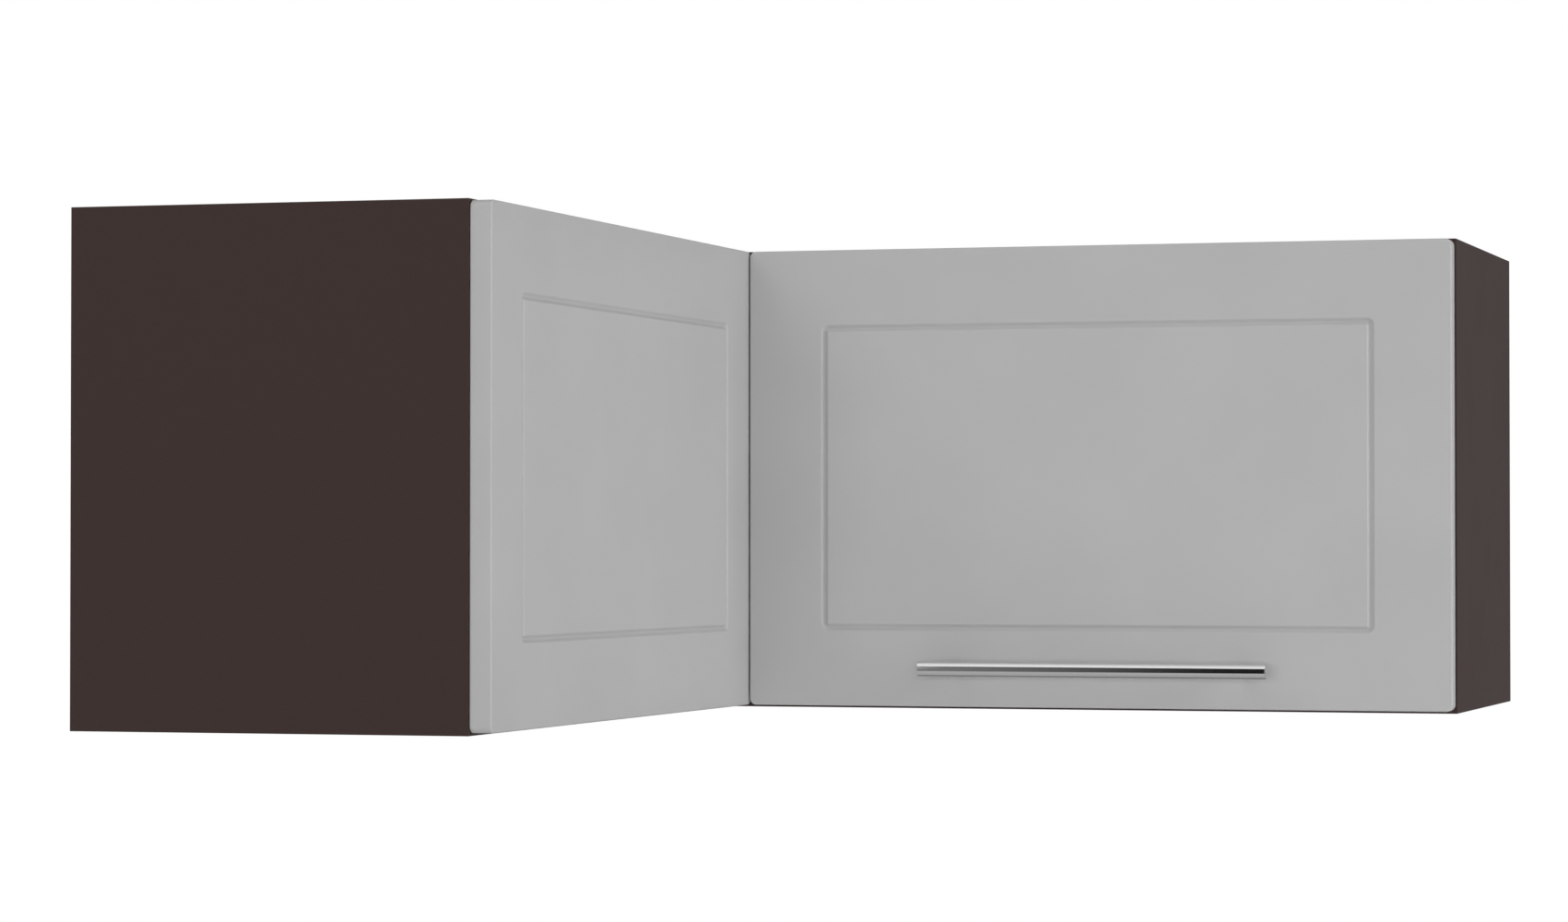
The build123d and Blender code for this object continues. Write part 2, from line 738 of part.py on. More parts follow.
def hinge_link(name, x):
    """Curved link from the arm pin to the cup pin, with an eye that follows the cup pin's path."""
    path = cup_pin_path()
    length = math.dist(arm_pin, cup_pin)
    across = ((cup_pin[1] - arm_pin[1]) / length, (arm_pin[0] - cup_pin[0]) / length)
    crown = tuple((a + c) / 2 - link_bulge * n for a, c, n in zip(arm_pin, cup_pin, across))
    bow = ThreePointArc(arm_pin, crown, cup_pin)
    side = Plane.YZ.offset(x - link_width / 2)
    slot = cup_pin_radius + slot_clearance
    with BuildPart() as link:
        with BuildSketch(side):
            path_sketch(path, slot + slot_wall)
        extrude(amount=link_width)
        with BuildSketch(side):
            SlotArc(bow, link_band)
            with Locations(arm_pin):
                Circle(link_eye_radius)
        extrude(amount=link_width)
        with BuildSketch(side):
            path_sketch(path, slot)
        extrude(amount=link_width, mode=Mode.SUBTRACT)
        x_bar(x - link_width, x + link_width, arm_pin, arm_pin_radius + running_clearance, Mode.SUBTRACT)
    save(link, name)


def hinge_arm(name, x):
    """Hinge arm: a channel over the mounting plate with a forked nose that reaches into the cup."""
    top = inner_high - plate_thickness - arm_top_gap
    floor = inner_high - arm_floor_drop
    rear = front_plane + arm_length
    root = front_plane + arm_wall + arm_width / 3
    nose_y, nose_z = arm_pin
    with BuildPart() as arm:
        with BuildSketch(Plane.YZ.offset(x - arm_width / 2)):
            Polygon((rear, top), (rear, floor), (root, floor), (nose_y, nose_z - nose_radius),
                    (nose_y, nose_z + nose_radius), (front_plane + arm_wall, top), align=None)
            with Locations(arm_pin):
                Circle(nose_radius)
        extrude(amount=arm_width)
        half_inner = arm_width / 2 - arm_wall
        block((x - half_inner, x + half_inner), (root, rear + overcut), (floor + arm_wall, top + overcut),
              Mode.SUBTRACT)
        for side in (-1, 1):
            block((x + side * nose_width / 2, x + side * arm_width),
                  (nose_y - 2 * nose_radius, root - arm_wall),
                  (nose_z - 2 * nose_radius, top + overcut), Mode.SUBTRACT)
        fork_half = link_width / 2 + layer_gap
        block((x - fork_half, x + fork_half), (nose_y - 2 * nose_radius, root - arm_wall),
              (nose_z - 2 * nose_radius, top + overcut), Mode.SUBTRACT)
        x_bar(x - arm_width, x + arm_width, arm_pin, arm_pin_radius + fixed_clearance, Mode.SUBTRACT)
        screw_y = front_plane + plate_screw_setback + arm_wall
        bar_between((x, screw_y, floor - overcut), (x, screw_y, floor + arm_wall + overcut),
                    arm_screw.shank_radius + bore_clearance, Mode.SUBTRACT)
    save(arm, name)


def hinge_plate(name, x):
    """Mounting plate under the top board: wings for two screws and a boss that carries the arm."""
    screw_y = front_plane + plate_screw_setback
    boss_low = inner_high - arm_floor_drop + arm_wall + arm_seat
    with BuildPart() as plate:
        with BuildSketch(Plane.XY.offset(inner_high - plate_thickness)):
            with Locations((x, screw_y)):
                RectangleRounded(plate_wing_span, plate_wing_length, plate_wing_length / 3)
                RectangleRounded(boss_width, plate_length, boss_width / 4)
        extrude(amount=plate_thickness)
        block((x - boss_width / 2, x + boss_width / 2),
              (screw_y - plate_length / 3, screw_y + plate_length / 3),
              (boss_low, inner_high - plate_thickness))
        for origin, direction in plate_screw_places():
            screw_bore(origin, direction, plate_screw)
        screw_bore((x, screw_y + arm_wall, inner_high - arm_floor_drop), (0, 0, 1), arm_screw)
    save(plate, name)


def hinges():
    """Both concealed hinges with their pins and screws."""
    for side, x in zip(("left", "right"), hinge_places):
        hinge_cup(f"hinge_cup_{side}", x)
        hinge_link(f"hinge_link_{side}", x)
        hinge_arm(f"hinge_arm_{side}", x)
        hinge_plate(f"hinge_plate_{side}", x)
    with BuildPart() as arm_pins:
        for x in hinge_places:
            x_bar(x - nose_width / 2, x + nose_width / 2, arm_pin, arm_pin_radius)
    save(arm_pins, "hinge_arm_pins")
    half = cup_pin_half_length()
    with BuildPart() as cup_pins:
        for x in hinge_places:
            x_bar(x - half, x + half, cup_pin, cup_pin_radius)
    save(cup_pins, "hinge_cup_pins")
    with BuildPart() as cup_screws:
        for origin, direction in cup_screw_places():
            add_screw(origin, direction, cup_screw)
    save(cup_screws, "hinge_cup_screws")
    with BuildPart() as plate_screws:
        for origin, direction in plate_screw_places():
            add_screw(origin, direction, plate_screw)
        for x in hinge_places:
            y = front_plane + plate_screw_setback + arm_wall
            add_screw((x, y, inner_high - arm_floor_drop), (0, 0, 1), arm_screw)
    save(plate_screws, "hinge_plate_screws")


# ---- Flap stay ----------------------------------------------------------------------------------
def stay_outline(ahead, behind, above, below, corner):
    """Rounded rectangle round the stay's pivot, in the current YZ sketch."""
    y, z = stay_pivot
    with Locations((y + (behind - ahead) / 2, z + (above - below) / 2)):
        RectangleRounded(ahead + behind, above + below, corner)


def flap_stay():
    """Spring stay: base and housing on the end panel, lever, coupler and door bracket.

    The lever is as long as the door axis is from the bracket pin, and the coupler as long as the
    door axis is from the stay's pivot, so the four pivots keep a parallelogram as the door lifts.
    """
    with BuildPart() as base:
        with BuildSketch(Plane.YZ.offset(right_inner - stay_base_thickness)):
            stay_outline(stay_cover_ahead + stay_tab, stay_cover_behind + stay_tab,
                         stay_cover_above, stay_cover_below, stay_cover_round)
        extrude(amount=stay_base_thickness)
        for origin, direction in stay_screw_places():
            screw_bore(origin, direction, stay_screw)
    save(base, "stay_base")

    with BuildPart() as cover:
        with BuildSketch(Plane.YZ.offset(stay_face)):
            stay_outline(stay_cover_ahead, stay_cover_behind, stay_cover_above, stay_cover_below,
                         stay_cover_round)
        extrude(amount=stay_cover_thickness)
        fillet(faces().sort_by(Axis.X)[0].edges(), radius=stay_cover_edge_round)
        x_bar(stay_face - overcut, right_inner - stay_base_thickness, stay_pivot,
              stay_bolt_radius + fixed_clearance, Mode.SUBTRACT)
        y, z = stay_pivot
        for step in range(3):
            rib_y = y + stay_cover_behind / 3 + step * 2 * stay_bolt_radius
            block((stay_face - overcut, stay_face + overcut), (rib_y, rib_y + stay_bolt_radius),
                  (z - stay_cover_below / 2, z + stay_cover_above / 2), Mode.SUBTRACT)
    save(cover, "stay_cover")

    with BuildPart() as lever:
        with BuildSketch(Plane.YZ.offset(lever_left)):
            with Locations(stay_pivot):
                Circle(lever_hub_radius)
            with Locations(stay_joint):
                Circle(lever_tip_radius)
            make_hull()
            with Locations(stay_pivot):
                Circle(stay_bolt_radius + running_clearance, mode=Mode.SUBTRACT)
            with Locations(stay_joint):
                Circle(joint_pin_radius + fixed_clearance, mode=Mode.SUBTRACT)
        extrude(amount=lever_thickness)
    save(lever, "stay_lever")

    with BuildPart() as pivot_bolt:
        x_bar(lever_left, right_inner - stay_base_thickness, stay_pivot, stay_bolt_radius)
        x_bar(lever_left - stay_bolt_head, lever_left, stay_pivot, stay_bolt_head_radius)
        chamfer(edges().filter_by(GeomType.CIRCLE).sort_by(Axis.X)[0], length=stay_bolt_head / 4)
    save(pivot_bolt, "stay_pivot_bolt")

    with BuildPart() as coupler:
        span = math.dist(stay_joint, bracket_pin)
        middle = tuple((a + b) / 2 for a, b in zip(stay_joint, bracket_pin))
        tilt = math.degrees(math.atan2(bracket_pin[1] - stay_joint[1], bracket_pin[0] - stay_joint[0]))
        with BuildSketch(Plane.YZ.offset(coupler_left)):
            with Locations(middle):
                SlotCenterToCenter(span, coupler_height, rotation=tilt)
            with Locations(stay_joint):
                Circle(joint_pin_radius + running_clearance, mode=Mode.SUBTRACT)
            with Locations(bracket_pin):
                Circle(bracket_pin_radius + running_clearance, mode=Mode.SUBTRACT)
        extrude(amount=lever_thickness)
    save(coupler, "stay_coupler")

    with BuildPart() as joint:
        x_bar(coupler_left - layer_gap, lever_right, stay_joint, joint_pin_radius)
        x_bar(coupler_left - layer_gap - joint_pin_head, coupler_left - layer_gap, stay_joint,
              joint_pin_head_radius)
        chamfer(edges().filter_by(GeomType.CIRCLE).sort_by(Axis.X)[0], length=joint_pin_head / 3)
    save(joint, "stay_joint_pin")

    with BuildPart() as bracket:
        block((bracket_right - bracket_base_width, bracket_right), (door_rear, door_rear + bracket_sheet),
              (bracket_pin[1] - bracket_base_height / 2, bracket_pin[1] + bracket_base_height / 2))
        with BuildSketch(Plane.YZ.offset(bracket_left)):
            with Locations(bracket_pin):
                Circle(bracket_eye_radius)
            foot = door_rear + bracket_sheet / 2
            with Locations((foot, bracket_pin[1] - bracket_base_height / 2 + bracket_sheet),
                           (foot, bracket_pin[1] + bracket_base_height / 2 - bracket_sheet)):
                Circle(bracket_sheet / 2)
            make_hull()
            with Locations(bracket_pin):
                Circle(bracket_pin_radius + fixed_clearance, mode=Mode.SUBTRACT)
        extrude(amount=bracket_sheet)
        for origin, direction in bracket_screw_places():
            screw_bore(origin, direction, bracket_screw)
    save(bracket, "stay_bracket")

    with BuildPart() as bracket_rivet:
        x_bar(bracket_left, coupler_right + layer_gap, bracket_pin, bracket_pin_radius)
        x_bar(coupler_right + layer_gap, coupler_right + layer_gap + bracket_pin_head, bracket_pin,
              bracket_pin_head_radius)
    save(bracket_rivet, "stay_bracket_pin")

    with BuildPart() as base_screws:
        for origin, direction in stay_screw_places():
            add_screw(origin, direction, stay_screw)
    save(base_screws, "stay_screws")
    with BuildPart() as bracket_screws:
        for origin, direction in bracket_screw_places():
            add_screw(origin, direction, bracket_screw)
    save(bracket_screws, "stay_bracket_screws")


# ---- Fixed front's fittings and door bumpers ----------------------------------------------------
def front_fittings():
    """Angle brackets between the left end panel and the fixed front, with all their screws."""
    with BuildPart() as brackets:
        for z in angle_heights():
            z_span = (z - angle_width / 2, z + angle_width / 2)
            block((carcass_depth - angle_leg, carcass_depth), (left_inner, left_inner + angle_sheet), z_span)
            block((carcass_depth - angle_sheet, carcass_depth), (left_inner, left_inner + angle_leg), z_span)
        for origin, direction in angle_screw_places():
            screw_bore(origin, direction, angle_screw)
            screw_bore(tuple(Vector(*origin) - Vector(*direction) * angle_sheet), direction, angle_screw)
    save(brackets, "front_brackets")
    with BuildPart() as screws:
        for origin, direction in angle_screw_places():
            inner_side = tuple(Vector(*origin))
            add_screw(inner_side, direction, angle_screw)
    save(screws, "front_bracket_screws")
    with BuildPart() as long_screws:
        for origin, direction in stile_screw_places():
            add_screw(origin, direction, stile_screw)
    save(long_screws, "front_screws")


def door_bumpers():
    """Soft buttons on the carcass's front edges that the closed door rests on."""
    places = ((door_left + bumper_inset, inner_low / 2 + front_low / 2),
              (right_inner - bumper_inset, inner_low / 2 + front_low / 2),
              (right_inner + board / 2, height / 2))
    with BuildPart() as bumpers:
        for x, z in places:
            bar_between((x, front_plane, z), (x, front_plane - bumper_thickness, z), bumper_radius)
    save(bumpers, "door_bumpers")


# ---- Cabinet hangers ----------------------------------------------------------------------------
def hanger(side, wing):
    """Hanger housing on the end panel, its hook through the back panel, and the wall plate."""
    top = inner_high - hanger_gap
    rear = panel_front + hanger_gap
    u_low, u_high = hanger_span(wing)
    hook_low_u, hook_high_u = hook_span(wing)
    with BuildPart() as housing:
        wing.block((u_low, u_high), (rear, rear + hanger_depth), (top - hanger_height, top))
        wing.block((u_low - overcut, u_high - hanger_wall),
                   (rear - overcut, rear + hanger_depth - hanger_wall),
                   (top - hanger_height + hanger_wall, top - hanger_wall), Mode.SUBTRACT)
        wing.block((u_low, u_low + hanger_wall), (rear, rear + hanger_depth), (top - hanger_height, top))
        wing.block((hook_low_u, hook_high_u), (rear + hook_anchor, rear + hook_anchor + hanger_wall),
                   (hook_low, hook_low + 2 * hook_height))
        wing.block((hook_low_u, hook_high_u), (rear + hook_anchor, rear + hanger_depth),
                   (hook_low, hook_low + hook_height))
        for origin, direction in hanger_screw_places(wing):
            screw_bore(origin, direction, hanger_screw)
    save(housing, f"hanger_housing_{side}")

    with BuildPart() as hook:
        wing.block((hook_low_u, hook_high_u), (hook_to_wall, rear + hook_anchor),
                   (hook_low, hook_low + hook_height))
        wing.block((hook_low_u, hook_high_u), (hook_to_wall, hook_to_wall + hook_thickness),
                   (hook_low - hook_tip, hook_low))
    save(hook, f"hanger_hook_{side}")

    plate_end = wing.inner_end - wall_plate_gap
    plate_start = plate_end - wall_plate_width
    lip_low = hook_low - wall_plate_lip
    plate_low = hook_low - wall_plate_height
    with BuildPart() as plate:
        wing.block((plate_start, plate_end), (0, wall_plate_sheet), (plate_low, lip_low))
        wing.block((plate_start, plate_end), (0, wall_plate_jog + wall_plate_sheet),
                   (lip_low - wall_plate_sheet, lip_low))
        wing.block((plate_start, plate_end), (wall_plate_jog, wall_plate_jog + wall_plate_sheet),
                   (lip_low, hook_low))
        middle = (plate_start + plate_end) / 2
        for step in (-wall_hole_spacing / 2, wall_hole_spacing / 2):
            z = plate_low + wall_hole_rise
            bar_between(wing.point(middle + step, -overcut, z),
                        wing.point(middle + step, wall_plate_sheet + overcut, z),
                        wall_hole_radius, Mode.SUBTRACT)
    save(plate, f"wall_plate_{side}")


def hanger_screws():
    """Screws of both hanger housings."""
    with BuildPart() as screws:
        for wing in (right_wing, left_wing):
            for origin, direction in hanger_screw_places(wing):
                add_screw(origin, direction, hanger_screw)
    save(screws, "hanger_screws")


# ---- Assembly -----------------------------------------------------------------------------------
l_board("top_board", inner_high, height, inner_high, inner_high + groove_depth + groove_clearance)
l_board("bottom_board", 0, board, inner_low - groove_depth - groove_clearance, inner_low)
end_panel("right_end_panel", right_wing)
end_panel("left_end_panel", left_wing)
back_panel("back_panel_right", right_wing, back_recess)
back_panel("back_panel_left", left_wing, panel_front + groove_clearance)
rear_stile("rear_stile_right", right_wing, 0)
rear_stile("rear_stile_left", left_wing, back_recess)
corner_stiles()
board_fittings()
left_front()
front_fittings()
door_panel()
handle()
hinges()
flap_stay()
door_bumpers()
hanger("right", right_wing)
hanger("left", left_wing)
hanger_screws()

reaches = [math.dist(arm_pin, place) for place in cup_pin_path()]
print(f"door axis at y {axis_y:.4f}, z {axis_z:.4f}")
print(f"arm pin at y {arm_pin[0]:.4f}, z {arm_pin[1]:.4f}; the link turns {link_turn:.4f} degrees")
print(f"pins {reaches[0]:.4f} mm apart closed, {min(reaches):.4f} at least, {reaches[-1]:.4f} open")
print(f"stay pivot {stay_pivot}, joint {stay_joint}, bracket pin {bracket_pin}")
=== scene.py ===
"""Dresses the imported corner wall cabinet: finishes, smooth fronts, handle, fasteners, light and camera.

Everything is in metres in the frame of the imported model: +X along the back wall, -Y into the room
along the left wall, +Z up, with the origin in the room's corner at the cabinet's underside.
"""
import json
import logging
import math
from dataclasses import dataclass, field
from enum import Enum
from typing import Any

import bmesh
import bpy
import numpy as np
from mathutils import Matrix, Vector
from mathutils.geometry import tessellate_polygon


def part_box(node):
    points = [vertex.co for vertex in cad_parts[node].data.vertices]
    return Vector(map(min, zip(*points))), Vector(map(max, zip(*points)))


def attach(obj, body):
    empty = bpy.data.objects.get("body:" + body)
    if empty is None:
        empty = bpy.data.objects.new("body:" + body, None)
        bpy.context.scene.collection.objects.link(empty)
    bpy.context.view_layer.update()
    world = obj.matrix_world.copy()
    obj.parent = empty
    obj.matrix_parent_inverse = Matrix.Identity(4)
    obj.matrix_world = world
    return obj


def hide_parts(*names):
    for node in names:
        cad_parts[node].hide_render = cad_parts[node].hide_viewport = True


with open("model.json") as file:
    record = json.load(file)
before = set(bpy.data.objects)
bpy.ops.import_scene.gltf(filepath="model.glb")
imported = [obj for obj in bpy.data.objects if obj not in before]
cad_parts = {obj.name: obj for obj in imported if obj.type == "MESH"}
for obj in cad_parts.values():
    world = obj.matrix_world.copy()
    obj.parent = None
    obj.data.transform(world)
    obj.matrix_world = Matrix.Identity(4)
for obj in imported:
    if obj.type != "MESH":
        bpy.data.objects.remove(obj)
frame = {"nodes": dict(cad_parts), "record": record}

log = logging.getLogger("cabinet")
MM = 0.001
WELD_DECIMALS = 5           # of a metre: points within a hundredth of a millimetre count as one
NOISE_SPAN = (0.3, 0.7)     # nearly all values of a noise lie between these
WHITE = (1.0, 1.0, 1.0, 1.0)
CABINET_MIDDLE = (0.4, -0.4, 0.2)

Pair = tuple[float, float]
Triple = tuple[float, float, float]
Colour = tuple[float, float, float, float]
Rows = np.ndarray
Faces = list[list[int]]
Tree = bpy.types.NodeTree
Socket = bpy.types.NodeSocket


# ---- Small shared functions ---------------------------------------------------------------------
def linear(code: str) -> Colour:
    """Turn an sRGB hex value into linear light.

    Each channel c becomes c / 12.92 up to 0.04045, and ((c + 0.055) / 1.055) ** 2.4 above it.

    Args:
        code: Colour as "#RRGGBB".

    Returns:
        Linear red, green and blue, and full alpha.
    """
    parts = [int(code[i:i + 2], 16) / 255 for i in (1, 3, 5)]
    light = [c / 12.92 if c <= 0.04045 else ((c + 0.055) / 1.055) ** 2.4 for c in parts]
    return (*light, 1.0)


def feed(tree: Tree, node: bpy.types.Node, sockets: dict[str | int, Any]) -> None:
    """Set a node's inputs, or link them.

    Args:
        tree: Node tree that holds the node.
        node: Node whose inputs are fed.
        sockets: Input name or number to a value, or to the output socket that feeds it.
    """
    for name, value in sockets.items():
        if isinstance(value, Socket):
            tree.links.new(value, node.inputs[name])
        else:
            node.inputs[name].default_value = value


def add(tree: Tree, kind: str, sockets: dict[str | int, Any] | None = None,
        stops: tuple[tuple[float, Colour], ...] = (), **settings: Any) -> bpy.types.Node:
    """Add one node with its settings, and set or link its inputs.

    Args:
        tree: Node tree that takes the node.
        kind: Blender's node type name.
        sockets: Input name or number to a value, or to the output socket that feeds it.
        stops: Positions and colours of a colour ramp, from low to high.
        settings: Attributes of the node itself.

    Returns:
        The new node.
    """
    node = tree.nodes.new(kind)
    for name, value in settings.items():
        setattr(node, name, value)
    for number, (position, colour) in enumerate(stops):
        ramp = node.color_ramp.elements
        stop = ramp[number] if number < len(ramp) else ramp.new(position)
        stop.position, stop.color = position, colour
    feed(tree, node, sockets or {})
    return node


def mesh_piece(name: str, points: Rows, faces: Faces, crease: float = 30.0) -> bpy.types.Object:
    """Make an object at the origin from points and faces, smooth up to a crease angle.

    Args:
        name: Object name.
        points: Array of shape (n, 3), in metres.
        faces: Lists of point numbers, counted so that faces point outwards.
        crease: Angle in degrees above which an edge stays sharp.

    Returns:
        The linked object.
    """
    mesh = bpy.data.meshes.new(name)
    mesh.from_pydata(np.asarray(points, float).tolist(), [], [list(map(int, f)) for f in faces])
    mesh.polygons.foreach_set("use_smooth", np.ones(len(mesh.polygons), bool))
    mesh.set_sharp_from_angle(angle=math.radians(crease))
    mesh.validate()
    mesh.update()
    piece = bpy.data.objects.new(name, mesh)
    bpy.context.scene.collection.objects.link(piece)
    return piece


def band_faces(rings: int, per_ring: int, start: int = 0) -> Faces:
    """Quads between closed rings of equal length, as whole arrays.

    Quad (k, i) joins points i and i + 1 of ring k to the same points of ring k + 1, with i + 1
    taken modulo the ring's length.

    Args:
        rings: Number of rings.
        per_ring: Points in each ring.
        start: Number of the first ring's first point.

    Returns:
        Faces as rows of four point numbers.
    """
    k, i = np.meshgrid(np.arange(rings - 1), np.arange(per_ring), indexing="ij")
    j = (i + 1) % per_ring
    near, far = k * per_ring, (k + 1) * per_ring
    quads = np.stack([near + i, far + i, far + j, near + j], -1)
    return (quads.reshape(-1, 4) + start).tolist()


def body_of(node: str) -> str:
    """Name of the body that carries a CAD node."""
    bodies = frame["record"]["behaviour"]["bodies"]
    return next(body for body, nodes in bodies.items() if node in nodes)


def solids(node: str) -> list[Rows]:
    """Points of each separate solid of a CAD node.

    Points that lie together are merged. Each then takes the lowest number that its triangles
    reach, over and over, until nothing changes: one number is then one solid.

    Args:
        node: CAD node's name.

    Returns:
        One array of shape (n, 3) for each solid.
    """
    mesh = frame["nodes"][node].data
    points, corners = np.empty(len(mesh.vertices) * 3), np.empty(len(mesh.loops), int)
    mesh.vertices.foreach_get("co", points)
    mesh.polygons.foreach_get("vertices", corners)
    rounded = np.round(points.reshape(-1, 3), WELD_DECIMALS)
    whole, number = np.unique(rounded, axis=0, return_inverse=True)
    triangles = number.ravel()[corners].reshape(-1, 3)
    group, before = np.arange(len(whole)), None
    while before is None or (group != before).any():
        before = group.copy()
        np.minimum.at(group, triangles.ravel(), np.repeat(group[triangles].min(1), 3))
        group = group[group]
    return [whole[group == number] for number in np.unique(group)]


@dataclass(frozen=True)
class Place:
    """A right-handed local frame: local x and y lie in a face and local z points out of it."""

    origin: Triple
    x: Triple
    z: Triple

    def world(self, local: Rows) -> Rows:
        """Carry local points (n, 3) to the cabinet's frame: origin + x*X + y*Y + z*Z."""
        x, z = np.array(self.x, float), np.array(self.z, float)
        return np.array(self.origin) + local @ np.stack([x, np.cross(z, x), z])


# ---- Finishes -----------------------------------------------------------------------------------
def speckle(tree: Tree, place: Socket, grain_mm: float, detail: float = 2.0,
            stretch: Triple = (1, 1, 1)) -> Socket:
    """Noise with a grain of a real size: its scale is one over the grain in metres.

    Args:
        tree: Material's nodes.
        place: Coordinates, in metres.
        grain_mm: Size of one grain.
        detail: Noise octaves.
        stretch: Factor on each axis; below one draws the grain out along it.

    Returns:
        The noise value, from 0 to 1 about 0.5.
    """
    drawn = add(tree, "ShaderNodeMapping", {"Vector": place, "Scale": stretch}).outputs["Vector"]
    return add(tree, "ShaderNodeTexNoise", {"Vector": drawn, "Scale": 1 / (grain_mm * MM),
                                            "Detail": detail}).outputs["Fac"]


def blend_colours(tree: Tree, pattern: Socket, low: str, high: str, span: Pair = NOISE_SPAN) -> Socket:
    """Go from one colour to another as a pattern crosses a span.

    Args:
        tree: Material's nodes.
        pattern: Value that chooses between the colours.
        low: Colour at the start of the span, as "#RRGGBB".
        high: Colour at its end.
        span: Pattern values between which the colour changes.

    Returns:
        The colour.
    """
    stops = ((span[0], linear(low)), (span[1], linear(high)))
    return add(tree, "ShaderNodeValToRGB", {"Fac": pattern}, stops).outputs["Color"]


class Side(Enum):
    """Wall behind a hardboard panel. The value is the number of the axis square to the panel."""

    BACK_WALL = 1
    LEFT_WALL = 0


@dataclass(frozen=True)
class Finish:
    """What every finish shares: its colours, roughness, relief, and a principled material."""

    name: str
    low: str
    high: str
    gloss: Pair         # roughness where its pattern is low and where it is high
    depth_mm: float     # relief between the lowest and the highest point of its pattern

    def start(self) -> tuple[Tree, Socket, bpy.types.Node]:
        """Begin a material.

        Returns:
            The tree, the Object coordinate output and the principled shader.
        """
        material = bpy.data.materials.new(self.name)
        material.use_nodes = True
        tree = material.node_tree
        place = add(tree, "ShaderNodeTexCoord").outputs["Object"]
        return tree, place, tree.nodes["Principled BSDF"]

    def coat(self, tree: Tree, shader: bpy.types.Node, colour: Socket, height: Socket,
             sheen: Socket | None = None) -> None:
        """Give the principled shader its colour, roughness and relief.

        Args:
            tree: Material's nodes.
            shader: Principled shader.
            colour: Base colour.
            height: Pattern of the relief.
            sheen: Pattern of the roughness, or none where the roughness is even.
        """
        rough = self.gloss[0]
        if sheen is not None:
            rough = add(tree, "ShaderNodeMapRange", {
                "Value": sheen, "From Min": NOISE_SPAN[0], "From Max": NOISE_SPAN[1],
                "To Min": self.gloss[0], "To Max": self.gloss[1]}).outputs["Result"]
        bump = add(tree, "ShaderNodeBump", {"Height": height, "Distance": self.depth_mm * MM,
                                            "Strength": 1.0}).outputs["Normal"]
        feed(tree, shader, {"Base Color": colour, "Roughness": rough, "Normal": bump})

    def material(self) -> bpy.types.Material:
        """Make the material on first use.

        Returns:
            The material.
        """
        if self.name not in bpy.data.materials:
            self.build()
        return bpy.data.materials[self.name]

    def build(self) -> None:
        """Fill in the material's nodes."""
        raise NotImplementedError


@dataclass(frozen=True)
class MelamineBoard(Finish):
    """Dark melamine-faced chipboard, pressed with a fine pearl grain: matt, with tiny pinpoint lights."""

    low: str = "#342623"
    high: str = "#392A27"
    gloss: Pair = (0.49, 0.52)
    depth_mm: float = 0.02
    grain_mm: float = 1.6     # real pearl grain is about 0.4 mm; drawn coarser so that it shows
    cloud_mm: float = 60.0
    raw_rear: bool = False    # edges against the walls show bare chips
    chip_mm: float = 2.4
    chip_tones: tuple[str, str] = ("#8E6C48", "#C8A877")
    chip_span: Pair = (0.05, 0.95)
    wall_gap_mm: float = 0.5
    squareness: float = 0.9

    def build(self) -> None:
        """Grain in colour and relief, slow clouds in the sheen, and raw chips on the wall edges."""
        tree, place, shader = self.start()
        grain = speckle(tree, place, self.grain_mm, detail=3)
        cloud = speckle(tree, place, self.cloud_mm)
        colour, height = blend_colours(tree, grain, self.low, self.high), grain
        if self.raw_rear:
            chips = add(tree, "ShaderNodeTexVoronoi", {"Vector": place, "Scale": 1 / (self.chip_mm * MM)})
            tone = add(tree, "ShaderNodeSeparateColor", {"Color": chips.outputs["Color"]}).outputs["Red"]
            raw = blend_colours(tree, tone, *self.chip_tones, self.chip_span)
            bare = self.wall_edges(tree, place)
            colour = add(tree, "ShaderNodeMix", {"Factor": bare, "A": colour, "B": raw},
                         data_type="RGBA").outputs["Result"]
            height = add(tree, "ShaderNodeMix", {"Factor": bare, "A": grain, "B": tone}).outputs["Result"]
        self.coat(tree, shader, colour, height, cloud)

    def wall_edges(self, tree: Tree, place: Socket) -> Socket:
        """Find the edges that lie against a wall: those close to it that face it.

        Args:
            tree: Material's nodes.
            place: Coordinates, in metres.

        Returns:
            One on those edges and zero elsewhere.
        """
        spot = add(tree, "ShaderNodeSeparateXYZ", {"Vector": place})
        normal = add(tree, "ShaderNodeTexCoord").outputs["Normal"]
        facing = add(tree, "ShaderNodeSeparateXYZ", {"Vector": normal})
        masks = []
        for axis, sign, beyond in (("Y", 1, "GREATER_THAN"), ("X", -1, "LESS_THAN")):
            near = add(tree, "ShaderNodeMath", {0: spot.outputs[axis], 1: -sign * self.wall_gap_mm * MM},
                       operation=beyond)
            square = add(tree, "ShaderNodeMath", {0: facing.outputs[axis], 1: sign * self.squareness},
                         operation=beyond)
            masks.append(add(tree, "ShaderNodeMath", {0: near.outputs[0], 1: square.outputs[0]},
                             operation="MULTIPLY").outputs[0])
        return add(tree, "ShaderNodeMath", {0: masks[0], 1: masks[1]}, operation="MAXIMUM").outputs[0]


@dataclass(frozen=True)
class FoilFront(Finish):
    """Light grey satin foil vacuum-pressed on fibreboard: soft sheen with a faint orange peel."""

    low: str = "#ACACAC"
    high: str = "#AFAFAF"
    gloss: Pair = (0.40, 0.46)
    depth_mm: float = 0.012
    peel_mm: float = 5.0
    grain_mm: float = 0.9     # real foil grain is about 0.2 mm; drawn coarser so that it shows
    cloud_mm: float = 90.0

    def build(self) -> None:
        """Orange peel in the relief, a fine grain in the sheen and slow clouds in the colour."""
        tree, place, shader = self.start()
        peel = speckle(tree, place, self.peel_mm, detail=1)
        grain = speckle(tree, place, self.grain_mm)
        cloud = speckle(tree, place, self.cloud_mm)
        self.coat(tree, shader, blend_colours(tree, cloud, self.low, self.high), peel, grain)


